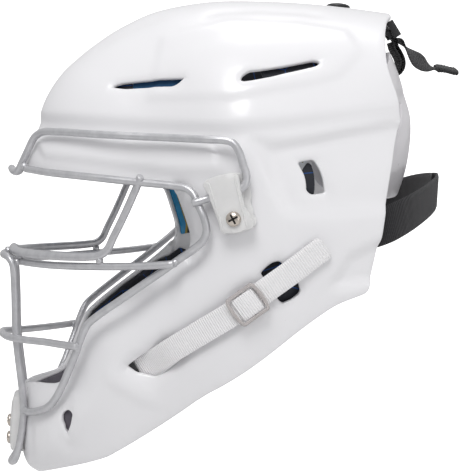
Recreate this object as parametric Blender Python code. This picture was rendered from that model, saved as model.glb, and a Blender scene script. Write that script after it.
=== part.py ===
"""Catcher's mask (hockey-style catcher's helmet).

Every position below is a design position in millimetres: +X towards the back of
the head, +Z up, and the wearer's left side at -Y.  place() moves the design
frame so that the row's origin is the middle of the crown pad's flat underside,
and turns millimetres into metres.
"""
import math

import bpy
import bmesh
import numpy as np
from mathutils import Matrix, Vector, geometry

for ob in list(bpy.data.objects):
    bpy.data.objects.remove(ob, do_unlink=True)

# ------------------------------------------------------------------ dimensions
ORIGIN = (15.0, 0.0, 141.0)      # crown pad underside, in the design frame
GAP = 0.3                        # clearance between touching pieces
SHELL_T = 3.4                    # moulded shell wall
BAR_D = 4.7                      # cage bar diameter
EYE_BAR = (6.2, 4.4)             # flattened legs of the eye bar
SCREW_HEAD_R = 4.5
SCREW_R = 1.9
STRAP_W, STRAP_T = 16.0, 1.6     # jaw strap
WEB_W, WEB_T = 19.0, 1.5         # top strap webbing
NECK_W, NECK_T = 24.0, 2.0       # lower rear elastic strap
PITCH = 12.0                     # spacing of the surface grid


def place(points):
    p = np.asarray(points, float)
    return (p - np.array(ORIGIN)) * 0.001


# ------------------------------------------------------------------ small maths
def smooth(t):
    t = np.clip(t, 0.0, 1.0)
    return t * t * (3 - 2 * t)


def catmull(points, step=None, count=None, closed=False):
    """A centripetal Catmull-Rom curve through points, resampled evenly."""
    p = np.asarray(points, float)
    if closed:
        p = np.vstack([p[-1], p, p[0], p[1]])
    else:
        p = np.vstack([2 * p[0] - p[1], p, 2 * p[-1] - p[-2]])
    out = []
    for i in range(1, len(p) - 2):
        p0, p1, p2, p3 = p[i - 1], p[i], p[i + 1], p[i + 2]
        t1 = np.linalg.norm(p1 - p0) ** 0.5
        t2 = t1 + np.linalg.norm(p2 - p1) ** 0.5
        t3 = t2 + np.linalg.norm(p3 - p2) ** 0.5
        for t in np.linspace(t1, t2, 24, endpoint=False):
            a1 = p0 * (t1 - t) / t1 + p1 * t / t1
            a2 = p1 * (t2 - t) / (t2 - t1) + p2 * (t - t1) / (t2 - t1)
            a3 = p2 * (t3 - t) / (t3 - t2) + p3 * (t - t2) / (t3 - t2)
            b1 = a1 * (t2 - t) / t2 + a2 * t / t2
            b2 = a2 * (t3 - t) / (t3 - t1) + a3 * (t - t1) / (t3 - t1)
            out.append(b1 * (t2 - t) / (t2 - t1) + b2 * (t - t1) / (t2 - t1))
    out.append(p[-2])
    return resample(np.array(out), step, count)


def resample(p, step=None, count=None):
    p = np.asarray(p, float)
    d = np.r_[0, np.cumsum(np.linalg.norm(np.diff(p, axis=0), axis=1))]
    if count is None:
        count = max(2, int(round(d[-1] / step)) + 1)
    s = np.linspace(0, d[-1], count)
    return np.stack([np.interp(s, d, p[:, k]) for k in range(p.shape[1])], 1)


# ------------------------------------------------------------------ body surface
class Dome:
    """A closed convex surface seen from the side.

    The side outline is a smooth loop about a pole on the Y axis; between the
    pole (half width) and the outline the section is a superellipse.
    """

    def __init__(self, outline, pole, half_width, power, taper):
        c = catmull(outline, count=3000, closed=True)
        self.px, self.pz = pole
        t = np.arctan2(c[:, 1] - self.pz, c[:, 0] - self.px)
        r = np.hypot(c[:, 1] - self.pz, c[:, 0] - self.px)
        o = np.argsort(t)
        t, r = t[o], r[o]
        self.t = np.concatenate([t - 2 * np.pi, t, t + 2 * np.pi])
        self.r = np.tile(r, 3)
        self.w, self.n, self.taper = half_width, power, taper

    def radius(self, th):
        return np.interp(th, self.t, self.r)

    def uv(self, xz):
        xz = np.atleast_2d(np.asarray(xz, float))
        dx, dz = xz[:, 0] - self.px, xz[:, 1] - self.pz
        th = np.arctan2(dz, dx)
        s = np.clip(np.hypot(dx, dz) / self.radius(th), 0, 1)
        ph = np.arcsin(s ** (self.n / 2))
        return np.stack([ph * np.cos(th), ph * np.sin(th)], 1)

    def point(self, uv):
        uv = np.atleast_2d(np.asarray(uv, float))
        ph = np.minimum(np.hypot(uv[:, 0], uv[:, 1]), np.pi / 2)
        th = np.arctan2(uv[:, 1], uv[:, 0])
        s = np.sin(ph) ** (2 / self.n)
        r = s * self.radius(th)
        x, z = self.px + r * np.cos(th), self.pz + r * np.sin(th)
        y = -self.w * np.maximum(np.cos(ph), 0) ** (2 / self.n) * self.taper(x)
        y[ph > np.pi / 2 - 1e-6] = 0.0
        return np.stack([x, y, z], 1)

    def _g(self, x, y, z):
        dx, dz = x - self.px, z - self.pz
        th = np.arctan2(dz, dx)
        s = np.hypot(dx, dz) / self.radius(th)
        return (np.abs(y) / (self.w * self.taper(x))) ** self.n + s ** self.n

    def normal(self, p):
        x, y, z = np.asarray(p, float).T
        h = 1.2
        gx = (self._g(x + h, y, z) - self._g(x - h, y, z)) / (2 * h)
        gz = (self._g(x, y, z + h) - self._g(x, y, z - h)) / (2 * h)
        wt = self.w * self.taper(x)
        gy = self.n * (np.abs(y) / wt) ** (self.n - 1) / wt * np.sign(y)
        g = np.stack([gx, gy, gz], 1)
        return g / np.maximum(np.linalg.norm(g, axis=1), 1e-12)[:, None]

    def at(self, x, z, off=0.0):
        """Point on the left (-Y) side above side-view position x, z."""
        p = self.point(self.uv([[x, z]]))
        return (p + self.normal(p) * off)[0]


def front_taper(x):
    return 1 - 0.23 * smooth((5 - np.asarray(x, float)) / 80)


def no_taper(x):
    return np.ones_like(np.asarray(x, float))


# side outline: brow, crown, then the unseen back, bottom, chin and face
OUTLINE = [(-143, 49), (-142, 55), (-135, 73), (-127.5, 95.5), (-116.5, 112.5), (-105, 123.5),
           (-88, 137), (-73, 146), (-53, 155), (-17.5, 162), (20, 163), (62, 161), (107, 156),
           (145, 150), (180, 134), (205, 104), (217, 60), (210, -2), (182, -65), (140, -114),
           (77, -160), (7, -191), (-56, -198), (-98, -188), (-129, -165), (-141, -157),
           (-145, -146), (-145, -138), (-144.5, -126), (-143.5, -112), (-144, -97), (-150, -60),
           (-155, -20), (-152, 20)]
SHELL = Dome(OUTLINE, (8, 26), 110, 2.15, front_taper)

BACK_OUTLINE = [(104.8, 134.5), (108, 127.5), (113.6, 114.5), (119.6, 95), (122.4, 84), (123, 72),
                (122, 60), (120, 48), (116.5, 36), (111.5, 24), (97, 0), (60, -25), (0, -20),
                (-60, 20), (-70, 80), (-50, 140), (0, 176), (60, 174), (91, 155)]
BACK = Dome(BACK_OUTLINE, (25, 74), 97, 2.6, no_taper)


# ------------------------------------------------------------------ features
def seg_dist(p, line):
    """Distance of points p to a polyline, and the position along it (0..1)."""
    p = np.asarray(p, float)
    a, b = np.asarray(line[:-1], float), np.asarray(line[1:], float)
    best = np.full(len(p), 1e9)
    where = np.zeros(len(p))
    side = np.zeros(len(p))
    for i in range(len(a)):
        d = b[i] - a[i]
        L2 = max(d @ d, 1e-12)
        t = np.clip(((p - a[i]) @ d) / L2, 0, 1)
        q = a[i] + t[:, None] * d
        dist = np.linalg.norm(p - q, axis=1)
        m = dist < best
        best[m] = dist[m]
        where[m] = (i + t[m]) / len(a)
        side[m] = np.sign((p[m, 0] - a[i][0]) * d[1] - (p[m, 1] - a[i][1]) * d[0])
    return best, where, side


def inside(p, poly):
    p = np.asarray(p, float)
    x, y = p[:, 0], p[:, 1]
    r = np.zeros(len(p), bool)
    n = len(poly)
    for i in range(n):
        x0, y0 = poly[i]
        x1, y1 = poly[(i + 1) % n]
        if y0 == y1:
            continue
        c = ((y0 > y) != (y1 > y)) & (x < (x1 - x0) * (y - y0) / (y1 - y0) + x0)
        r ^= c
    return r


def plateau(p, poly, rim):
    """1 well inside a closed outline, 0 outside, with a soft rim."""
    d, _, _ = seg_dist(p, list(poly) + [poly[0]])
    sgn = np.where(inside(p, poly), 1, -1)
    return smooth(0.5 + sgn * d / (2 * rim))


FACE_EDGE = [(-136, -98.5), (-128, -98), (-120, -96.5), (-114, -91), (-106.5, -70.5), (-103, -62.5),
             (-98.5, -55), (-75.7, -37.8), (-53.7, -22.3), (-42, -13.5), (-34.5, -6.5), (-33, 4),
             (-37.5, 18), (-42.5, 32.5), (-46.5, 36.5), (-56, 37.5), (-79, 40), (-118, 45), (-136, 47.5)]
TEMPLE_EDGE = [(-34.5, -6.5), (-33, 4), (-37.5, 18), (-42.5, 32.5)]
CHEEK_EDGE = [(-136, -98.5), (-128, -98), (-120, -96.5), (-114, -91), (-106.5, -70.5), (-103, -62.5),
              (-98.5, -55), (-75.7, -37.8), (-53.7, -22.3), (-42, -13.5), (-34.5, -6.5)]
BROW_PANEL = [(-134, 62), (-120, 67), (-92, 65.5), (-56, 63), (-34, 61.5), (-26, 59), (-24, 54),
              (-28, 49), (-36, 45), (-48, 44.5), (-72, 46.5), (-100, 50), (-128, 53)]
EAR_RECESS = [(4, 66), (22, 65.5), (45, 69), (70, 74), (100, 80), (104, 20), (87, 23), (40, 20),
              (30, 20), (23, 25)]
REAR_ARROW = [(-60, 93), (-10, 93), (45, 103), (62, 108), (77, 124), (70, 138), (40, 143),
              (-6, 145), (-50, 135)]


def relief(xz):
    """Height of the moulded features over the plain surface."""
    h = 1.8 * plateau(xz, BROW_PANEL, 4)
    h = h - 2.2 * plateau(xz, EAR_RECESS, 5)
    h = h + 1.4 * plateau(xz, REAR_ARROW, 5)
    return h


def shell_points(uv, off):
    """Shell surface with its relief and its rolled edges, left half."""
    p = SHELL.point(uv)
    n = SHELL.normal(p)
    xz = p[:, [0, 2]]
    q = p + n * (relief(xz) + off)[:, None]
    d, _, _ = seg_dist(xz, TEMPLE_EDGE)
    roll = 20.0 * np.clip(1 - d / 10.0, 0, 1) ** 2
    d, w, _ = seg_dist(xz, CHEEK_EDGE)
    roll = np.maximum(roll, (11.0 - 5.0 * w) * np.clip(1 - d / 28.0, 0, 1) ** 2)
    q[:, 1] = np.minimum(q[:, 1] + roll * np.minimum(1, -p[:, 1] / 20.0), 0.0)
    q[p[:, 1] > -1e-9, 1] = 0.0
    return q, n


# ------------------------------------------------------------------ meshes
MATERIALS = {}


def material(name, colour, rough, metal=0.0, alpha=1.0):
    m = bpy.data.materials.new(name)
    m.use_nodes = True
    b = m.node_tree.nodes["Principled BSDF"]
    b.inputs["Base Color"].default_value = (*colour, 1)
    b.inputs["Roughness"].default_value = rough
    b.inputs["Metallic"].default_value = metal
    b.inputs["Alpha"].default_value = alpha
    m.diffuse_color = (*colour, 1)
    return m


FINISH = {
    "shell": ((0.84, 0.84, 0.86), 0.25, 0.0, 1.0),
    "bar": ((0.55, 0.55, 0.58), 0.35, 0.9, 1.0),
    "clip": ((0.72, 0.71, 0.70), 0.2, 0.0, 0.6),
    "screw": ((0.60, 0.57, 0.52), 0.3, 1.0, 1.0),
    "foam": ((0.0, 0.25, 0.55), 0.8, 0.0, 1.0),
    "cover": ((0.02, 0.02, 0.025), 0.7, 0.0, 1.0),
    "elastic": ((0.75, 0.75, 0.76), 0.7, 0.0, 1.0),
    "web": ((0.015, 0.015, 0.018), 0.8, 0.0, 1.0),
    "black": ((0.02, 0.02, 0.02), 0.4, 0.0, 1.0),
}


def add(name, verts, faces, finish, smooth_shade=True, origin=None):
    """A named closed object from design-frame millimetres."""
    me = bpy.data.meshes.new(name)
    v = place(verts)
    o = np.zeros(3) if origin is None else place(origin)
    me.from_pydata([tuple(p) for p in (v - o)], [], [tuple(int(i) for i in f) for f in faces])
    bm = bmesh.new()
    bm.from_mesh(me)
    bmesh.ops.recalc_face_normals(bm, faces=bm.faces)
    bm.to_mesh(me)
    bm.free()
    me.update()
    ob = bpy.data.objects.new(name, me)
    ob.location = Vector(o)
    bpy.context.scene.collection.objects.link(ob)
    me.materials.append(material(name, *FINISH[finish]))
    if smooth_shade:
        me.shade_smooth()
        me.set_sharp_from_angle(angle=math.radians(40))
    return ob


def merge(parts):
    vs, fs, n = [], [], 0
    for v, f in parts:
        vs.append(np.asarray(v, float))
        fs += [[i + n for i in face] for face in f]
        n += len(v)
    return np.vstack(vs), fs


def mirror_y(vf):
    v, f = vf
    v = np.array(v, float)
    v[:, 1] *= -1
    return v, [list(reversed(face)) for face in f]


def triangulate(loops, pitch):
    """Triangles of the area inside loops[0] and outside the others, in the unit
    domain; grid points fill the middle."""
    outer, holes = np.asarray(loops[0]), [np.asarray(h) for h in loops[1:]]
    lo, hi = outer.min(0), outer.max(0)
    pts = []
    j = 0
    z = lo[1]
    while z < hi[1]:
        x = lo[0] + (pitch / 2 if j % 2 else 0)
        while x < hi[0]:
            pts.append((x, z))
            x += pitch
        z += pitch * 0.866
        j += 1
    pts = np.array(pts)
    ok = inside(pts, outer)
    for h in holes:
        ok &= ~inside(pts, h)
    pts = pts[ok]
    for lp in [outer] + holes:
        d, _, _ = seg_dist(pts, np.vstack([lp, lp[:1]]))
        pts = pts[d > 0.55 * pitch]
    verts, edges = [], []
    for lp in [outer] + holes:
        n0 = len(verts)
        verts += [tuple(q) for q in lp]
        edges += [(n0 + i, n0 + (i + 1) % len(lp)) for i in range(len(lp))]
    nb = len(verts)
    verts += [tuple(q) for q in pts]
    r = geometry.delaunay_2d_cdt([Vector(v) for v in verts], edges, [], 0, 1e-7)
    v2 = np.array([[v[0], v[1]] for v in r[0]])
    tri = np.array([f for f in r[2]])
    cen = v2[tri].mean(1)
    ok = inside(cen, outer)
    for h in holes:
        ok &= ~inside(cen, h)
    return v2, tri[ok]


def sheet(dome, loops_xz, pitch, midline=False, step=8.0, surf=None, offs=(0.0, -SHELL_T)):
    """A closed wall over an area of the dome, between two offsets.

    loops_xz are side-view outlines.  With midline, points at the outline of the
    dome lie on the middle plane, and the other half is added by symmetry.
    """
    def plain(uv, off):
        p = dome.point(uv)
        return p + dome.normal(p) * off[:, None], None

    surf = surf or plain
    loops = []
    for lp in loops_xz:
        lp = np.asarray(lp, float)
        uv = dome.uv(np.vstack([lp, lp[:1]]))
        xyz = dome.point(uv)
        out = []
        for i in range(len(lp)):
            n = max(1, int(round(np.linalg.norm(xyz[i + 1] - xyz[i]) / step)))
            a, b = uv[i], uv[i + 1]
            for k in range(n):
                q = a + (b - a) * k / n
                if np.hypot(*a) > 1.5705 and np.hypot(*b) > 1.5705:
                    q = q / np.hypot(*q) * (np.pi / 2)
                out.append(q)
        loops.append(np.array(out))
    v2, tri = triangulate(loops, pitch / 105.0)
    top, _ = surf(v2, np.full(len(v2), offs[0]))
    bot, _ = surf(v2, np.full(len(v2), offs[1]))
    if midline:
        mid = np.hypot(v2[:, 0], v2[:, 1]) > np.pi / 2 - 1e-5
        top[mid, 1] = 0
        bot[mid, 1] = 0
        n = len(v2)
        remap = np.arange(n)
        other = np.where(~mid)[0]
        remap = remap.copy()
        remap[other] = n + np.arange(len(other))
        flip = np.array([1, -1, 1.0])
        top = np.vstack([top, top[other] * flip])
        bot = np.vstack([bot, bot[other] * flip])
        tri = np.vstack([tri, remap[tri][:, ::-1]])
    n = len(top)
    count = {}
    for t in tri:
        for a, b in ((t[0], t[1]), (t[1], t[2]), (t[2], t[0])):
            k = (min(a, b), max(a, b))
            count.setdefault(k, []).append((a, b))
    faces = [list(t) for t in tri] + [[i + n for i in reversed(list(t))] for t in tri]
    for k, e in count.items():
        if len(e) == 1:
            a, b = e[0]
            faces.append([b, a, a + n, b + n])
    return np.vstack([top, bot]), faces


def frames(path, up=None):
    """Tangents and two cross directions along a path, without twist."""
    p = np.asarray(path, float)
    t = np.gradient(p, axis=0)
    t /= np.linalg.norm(t, axis=1)[:, None]
    a = np.array([0, 0, 1.0]) if up is None else np.asarray(up, float)
    if abs(a @ t[0]) > 0.9:
        a = np.array([0, 1.0, 0])
    n = a - (a @ t[0]) * t[0]
    n /= np.linalg.norm(n)
    ns = [n]
    for i in range(1, len(p)):
        n = ns[-1] - (ns[-1] @ t[i]) * t[i]
        ns.append(n / np.linalg.norm(n))
    ns = np.array(ns)
    return t, ns, np.cross(t, ns)


def bar(path, r, sides=8, scale=None):
    """A round bar swept along a path, with flat ends."""
    p = np.asarray(path, float)
    t, n, b = frames(p)
    vs = []
    for i in range(len(p)):
        sa, sb = (1, 1) if scale is None else scale[i]
        for k in range(sides):
            a = 2 * math.pi * (k + 0.5) / sides
            vs.append(p[i] + n[i] * (r * sa * math.cos(a)) + b[i] * (r * sb * math.sin(a)))
    fs = [list(range(sides))[::-1], [(len(p) - 1) * sides + k for k in range(sides)]]
    for i in range(len(p) - 1):
        for k in range(sides):
            a, c = i * sides + k, i * sides + (k + 1) % sides
            fs.append([a, c, c + sides, a + sides])
    return np.array(vs), fs


def ribbon(path, across, width, thick):
    """A flat strap: path of its middle, unit directions across it, and the
    thickness along the third direction."""
    p = np.asarray(path, float)
    t = np.gradient(p, axis=0)
    t /= np.linalg.norm(t, axis=1)[:, None]
    w = np.asarray(across, float)
    w = w - (w * t).sum(1)[:, None] * t
    w /= np.linalg.norm(w, axis=1)[:, None]
    n = np.cross(t, w)
    vs = []
    for i in range(len(p)):
        for a, b in ((-1, -1), (0, -1), (1, -1), (1, 1), (0, 1), (-1, 1)):
            vs.append(p[i] + w[i] * a * width / 2 + n[i] * b * thick / 2)
    m = 6
    fs = [[5, 4, 1, 0], [4, 3, 2, 1]]
    e = (len(p) - 1) * m
    fs += [[e, e + 1, e + 4, e + 5], [e + 1, e + 2, e + 3, e + 4]]
    for i in range(len(p) - 1):
        for k in range(m):
            a, c = i * m + k, i * m + (k + 1) % m
            fs.append([a, c, c + m, a + m])
    return np.array(vs), fs


def turned(profile, centre, axis, sides=16):
    """A closed solid of revolution: profile of (radius, height) pairs along axis."""
    ax = np.asarray(axis, float)
    ax = ax / np.linalg.norm(ax)
    u = np.cross(ax, [0, 0, 1.0]) if abs(ax[2]) < 0.9 else np.cross(ax, [1.0, 0, 0])
    u /= np.linalg.norm(u)
    w = np.cross(ax, u)
    vs, fs, rows = [], [], []
    for r, h in profile:
        if r < 1e-6:
            rows.append([len(vs)])
            vs.append(np.asarray(centre) + ax * h)
        else:
            rows.append(list(range(len(vs), len(vs) + sides)))
            for k in range(sides):
                a = 2 * math.pi * k / sides
                vs.append(np.asarray(centre) + ax * h + (u * math.cos(a) + w * math.sin(a)) * r)
    closed = profile[0][0] > 1e-6
    pairs = list(zip(rows[:-1], rows[1:]))
    if closed:
        pairs.append((rows[-1], rows[0]))
    for a, b in pairs:
        for k in range(sides):
            k2 = (k + 1) % sides
            if len(a) == 1:
                fs.append([a[0], b[k], b[k2]])
            elif len(b) == 1:
                fs.append([a[k], b[0], a[k2]])
            else:
                fs.append([a[k], b[k], b[k2], a[k2]])
    return np.array(vs), fs


def box(centre, x, y, size):
    """A block with half sizes size along x, y and their cross product."""
    x = np.asarray(x, float) / np.linalg.norm(x)
    y = np.asarray(y, float) - (np.asarray(y, float) @ x) * x
    y /= np.linalg.norm(y)
    z = np.cross(x, y)
    vs = []
    for a in (-1, 1):
        for b in (-1, 1):
            for c in (-1, 1):
                vs.append(np.asarray(centre) + x * a * size[0] + y * b * size[1] + z * c * size[2])
    fs = [[0, 1, 3, 2], [4, 6, 7, 5], [0, 4, 5, 1], [2, 3, 7, 6], [0, 2, 6, 4], [1, 5, 7, 3]]
    return np.array(vs), fs


def cut(ob, cutter_vf, name):
    """Cut a shape out of an object with a Boolean."""
    c = add(name, *cutter_vf, "black", smooth_shade=False)
    c.hide_render = True
    c.display_type = "WIRE"
    m = ob.modifiers.new(name, "BOOLEAN")
    m.operation = "DIFFERENCE"
    m.solver = "EXACT"
    m.object = c
    return c


def join_boxes(name, parts, finish, origin=None):
    """One solid from overlapping blocks, by Boolean unions."""
    base = add(name, *parts[0], finish, smooth_shade=False, origin=origin)
    for i, vf in enumerate(parts[1:]):
        c = add(f"{name}_block_{i}", *vf, "black", smooth_shade=False)
        c.hide_render = True
        c.display_type = "WIRE"
        m = base.modifiers.new(f"union_{i}", "BOOLEAN")
        m.operation = "UNION"
        m.solver = "EXACT"
        m.object = c
    return base


# ------------------------------------------------------------------ front shell
REAR_EDGE = [(107, 152), (104, 150.5), (100.5, 147), (96, 138), (94, 128), (93, 119), (93.5, 112),
             (95.5, 103), (98, 94), (99.5, 85), (100.5, 79), (99.5, 75), (96.5, 62), (92.5, 41),
             (89.5, 25), (86.5, 4), (84, -3), (80, -22), (78.5, -31)]
BOTTOM_EDGE = [(61, -37), (53, -41), (-28, -99), (-87, -143), (-102, -148.5), (-119, -154),
               (-129, -158)]


def outline_run(dome, th0, th1, n):
    """Side-view points on the outline of the dome, between two directions."""
    return [(dome.px + dome.radius(t) * math.cos(t), dome.pz + dome.radius(t) * math.sin(t))
            for t in np.linspace(th0, th1, n)]


def angle_of(dome, x, z):
    return math.atan2(z - dome.pz, x - dome.px)


crown = outline_run(SHELL, angle_of(SHELL, -143.5, 48.5), angle_of(SHELL, 108, 155.9), 26)
chin_top = angle_of(SHELL, -143.5, -100)
chin_low = angle_of(SHELL, -136, -161.5)
chin = outline_run(SHELL, chin_low + 2 * math.pi if chin_low < 0 else chin_low,
                   chin_top + 2 * math.pi if chin_top < 0 else chin_top, 9)
shell_loop = crown + REAR_EDGE + BOTTOM_EDGE + chin + FACE_EDGE

FRONT_VENT = [(-85, 101), (-82, 104), (-76, 105.5), (-38, 107), (-37, 106), (-41, 102), (-45, 100),
              (-76, 99.5)]
REAR_VENT = [(-4, 103.5), (-3, 107.5), (2, 111), (45, 118.5), (49, 117.5), (50, 115.5), (47, 113),
             (30, 109), (-1, 102.5)]
EAR_WINDOW = [(32, 52), (33, 54), (42, 55.5), (45, 53.5), (51, 33), (49, 31.5), (41, 30.5), (37.5, 33)]
OVAL_VENT = [(7, -18), (11, -13.5), (16, -10), (21, -9.5), (33, -23), (35, -29), (34, -32),
             (29, -36), (23, -38.5), (20, -37)]
STRAP_SLOT = [(-76, -81.5), (-70, -76), (-50, -60.5), (-38, -70.5), (-42, -77), (-54, -87.5),
              (-58, -89.5), (-70, -86.5)]
CHIN_VENT = [(-119, -115), (-117, -112), (-113, -110.5), (-110, -114), (-111, -122), (-114, -131),
             (-119, -121)]

shell_surface = lambda uv, off: shell_points(uv, off)
v, f = sheet(SHELL, [shell_loop, FRONT_VENT, REAR_VENT, EAR_WINDOW, OVAL_VENT, STRAP_SLOT, CHIN_VENT],
             PITCH, midline=True, step=9.0, surf=shell_surface)
shell = add("front_shell", v, f, "shell")

# ------------------------------------------------------------------ cage bars
R = BAR_D / 2


def both(points):
    """Mirror an open run that starts on the middle plane to the other side."""
    p = np.asarray(points, float)
    return np.vstack([(p * [1, -1, 1])[::-1][:-1], p]) if abs(p[0, 1]) < 1e-6 else p


def stand_off(path, need, lowest=-1e9):
    """Push the points of a path that are nearer than need to the shell outwards."""
    p = np.array(path, float)
    for _ in range(3):
        q = p * np.where(p[:, 1:2] > 0, [[1, -1, 1]], [[1, 1, 1]])
        n = SHELL.normal(q + [0, -1e-6, 0])
        g0, g1 = (SHELL._g(*(q + n * h).T) for h in (0.0, 0.5))
        d = (g0 - 1) / np.maximum((g1 - g0) / 0.5, 1e-6) - relief(q[:, [0, 2]])
        on = (d < need) & (d > -8) & (p[:, 2] > lowest)
        move = n * np.where(on, need - d, 0)[:, None]
        move[:, 1] *= np.where(p[:, 1] > 0, -1, 1)
        p = p + move
    return p


BROW_BAR = [(-151, 0, 48), (-149.3, -9, 46), (-146.3, -17, 45.8), (-143.8, -21, 50.5),
            (-139.5, -23.5, 59.5), (-134.8, -27, 68.5), (-130, -33, 71.8), (-119.5, -48, 72),
            (-93, -69, 70), (-57, -86, 68), (-24, -105.5, 66.2), (-15.5, -108.9, 65.8),
            (-10, -111, 64.2), (-6.6, -112.4, 59.6), (-4, -113.7, 51.3), (-1.8, -115.1, 43.6),
            (-2.1, -115.6, 39.8), (-4.6, -115.3, 35.9), (-8.3, -114, 33.4), (-15.5, -110.5, 31.5),
            (-23, -107.2, 29.8), (-25.5, -105.8, 29.2)]
SIDE_BAR = [(-139.3, -27, 47.3), (-124.5, -50, 45.2), (-99.5, -69.5, 42.6), (-71, -82.5, 39.6),
            (-45, -94.5, 37), (-38, -98.3, 35.6), (-33.7, -101, 32), (-31.5, -103, 26.5),
            (-27.5, -106.3, 17), (-26, -106.8, 9), (-28.2, -104.5, 2.5), (-34, -101, -3),
            (-42.5, -95.5, -9.5), (-54.5, -90, -18.5), (-78.5, -80, -36), (-94, -72, -47.5),
            (-100, -69, -53), (-104, -66.5, -61), (-108, -64, -72.5), (-116, -56, -93),
            (-120.5, -51, -104), (-125, -46, -110.3), (-131, -37, -114.3), (-136.8, -27.5, -116.6)]
EYE_BAR_PATH = [(-150.6, 0, -6.4), (-148, -12, -8.3), (-138, -34, -9), (-125, -50, -9.2),
                (-112, -61.5, -9.2), (-99, -70.5, -8.7), (-92, -74.5, -7.6), (-87.3, -77, -4),
                (-84, -78, 3), (-79, -79, 13), (-73, -80.5, 26), (-70.2, -81.3, 32.5),
                (-68.8, -81.7, 35.6)]
NOSE_BAR = [(-148.3, 0, -15.2), (-145.2, -14, -15.4), (-132.5, -36, -15.8), (-119, -52, -15.9),
            (-93, -73, -15.3), (-68, -88, -14.2), (-50, -97.5, -12.6), (-46.5, -99, -12.2)]
MOUTH_BAR = [(-158.3, 0, -65), (-157, -11, -65.2), (-153.3, -20.5, -66.2), (-142, -33, -66.9),
             (-129, -45, -67), (-117, -59.8, -67.2), (-110.2, -68.4, -67.2), (-107.6, -71.4, -67.2)]
CHIN_LOOP = [(-156.8, 0, -10.6), (-156.2, -11, -11), (-153.2, -17.5, -12.2), (-150.2, -20, -16.5),
             (-148.8, -20, -34), (-148.4, -20, -58), (-147.8, -20, -70), (-143.9, -20, -106),
             (-143.3, -20, -118), (-144.9, -20, -132), (-147.9, -19, -146), (-150, -14, -152),
             (-152, -7, -154.2), (-152.6, 0, -154.6)]


def loop_both(points):
    """A closed loop from a run that starts and ends on the middle plane."""
    p = np.asarray(points, float)
    return np.vstack([p, (p * [1, -1, 1])[::-1][1:-1]])


brow_path = catmull(both(BROW_BAR), step=7.0)
add("cage_brow_bar", *bar(brow_path, R), "bar")
side_path = stand_off(catmull(SIDE_BAR, step=7.5), R + 0.5)
left_side = bar(side_path, R)
add("left_cage_side_bar", *left_side, "bar")
add("right_cage_side_bar", *mirror_y(left_side), "bar")
eye_path = catmull(both(EYE_BAR_PATH), step=7.5)
flat = [(1 + (EYE_BAR[0] / BAR_D - 1) * smooth((p[2] + 6) / 12), 1.0) for p in eye_path]
add("cage_eye_bar", *bar(eye_path, R), "bar")
add("cage_nose_bar", *bar(catmull(both(NOSE_BAR), step=8.5), R), "bar")
add("cage_mouth_bar", *bar(catmull(both(MOUTH_BAR), step=7.5), R), "bar")


def ring_bar(path, r, sides=8):
    p = np.asarray(path, float)
    n = len(p)
    t = np.roll(p, -1, 0) - np.roll(p, 1, 0)
    t /= np.linalg.norm(t, axis=1)[:, None]
    vs = []
    for i in range(n):
        u = np.cross(t[i], [1.0, 0, 0.05])
        u /= np.linalg.norm(u)
        w = np.cross(t[i], u)
        for k in range(sides):
            a = 2 * math.pi * (k + 0.5) / sides
            vs.append(p[i] + (u * math.cos(a) + w * math.sin(a)) * r)
    fs = []
    for i in range(n):
        for k in range(sides):
            a, c = i * sides + k, i * sides + (k + 1) % sides
            d, e = ((i + 1) % n) * sides + k, ((i + 1) % n) * sides + (k + 1) % sides
            fs.append([a, c, e, d])
    return np.array(vs), fs


loop_path = catmull(loop_both(CHIN_LOOP), step=8.0, closed=True)[:-1]
add("cage_chin_loop", *ring_bar(loop_path, R), "bar")

# ------------------------------------------------------------------ side clips
CLIP = [(-23.5, 38.5), (-21.5, 40.5), (-9, 44.3), (-5.5, 44), (-4.8, 40), (-3.8, 32), (-2, 24), (2.8, 15.5),
        (2.6, 12.5), (0.8, 11), (-12.4, 7.9), (-13.9, 9.2), (-16.6, 19.8), (-19.6, 27.7), (-20.3, 32),
        (-22.8, 35)]
SCREW_XZ = (-7.3, 16.9)


def clip_side():
    """Clear clip: a block over the bar with a channel for it."""
    return sheet(SHELL, [CLIP], 10.0, step=6.0, offs=(10.2, 0.6))


def clip_channel():
    i0 = int(np.argmin(np.linalg.norm(brow_path - np.array([-3, -115.8, 35.0]), axis=1)))
    keep = [p for p in brow_path[-14:] if p[1] < -100 and p[2] < 50]
    k = np.array(keep)
    d = k[-1] - k[-2]
    k = np.vstack([k, k[-1] + d * 2.5])
    d0 = k[0] - k[1]
    k = np.vstack([k[0] + d0 * 1.5, k])
    return bar(k, R + 0.5, sides=10)


def normal_at(x, z):
    p = SHELL.at(x, z)
    return p, SHELL.normal(p[None])[0]


sp, sn = normal_at(*SCREW_XZ)
screw_profile = [(0, 8.7), (SCREW_R, 8.7), (SCREW_R, 10.5), (0, 10.5)]
for side, sy in (("left", 1), ("right", -1)):
    flip = (lambda vf: vf) if sy == 1 else mirror_y
    clip = add(f"{side}_cage_clip", *flip(clip_side()), "clip")
    cut(clip, flip(clip_channel()), f"{side}_clip_channel")
    cut(clip, flip(turned([(0, -5), (2.4, -5), (2.4, 16), (0, 16)], sp, sn, 12)), f"{side}_clip_bore")
    cut(shell, flip(turned([(0, -8), (2.6, -8), (2.6, 8), (0, 8)], sp, sn, 12)), f"{side}_shell_bore")
HEAD = [(0, -7.0), (SCREW_R, -7.0), (SCREW_R, 10.6), (SCREW_HEAD_R, 10.6), (SCREW_HEAD_R, 11.6),
        (3.0, 12.9), (0, 13.3)]
one = turned(HEAD, sp, sn, 14)
add("left_clip_screw", *one, "screw")
add("right_clip_screw", *mirror_y(one), "screw")
nut = turned([(2.3, -5.7), (4.9, -5.7), (4.9, -6.4), (4.0, -6.4), (4.0, -7.2), (2.3, -7.2)], sp, sn, 14)
add("left_clip_t_nut", *nut, "screw")
add("right_clip_t_nut", *mirror_y(nut), "screw")

# ------------------------------------------------------------------ chin clip
CHIN_CLIP_Z = (-108.0, -145.5)


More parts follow.
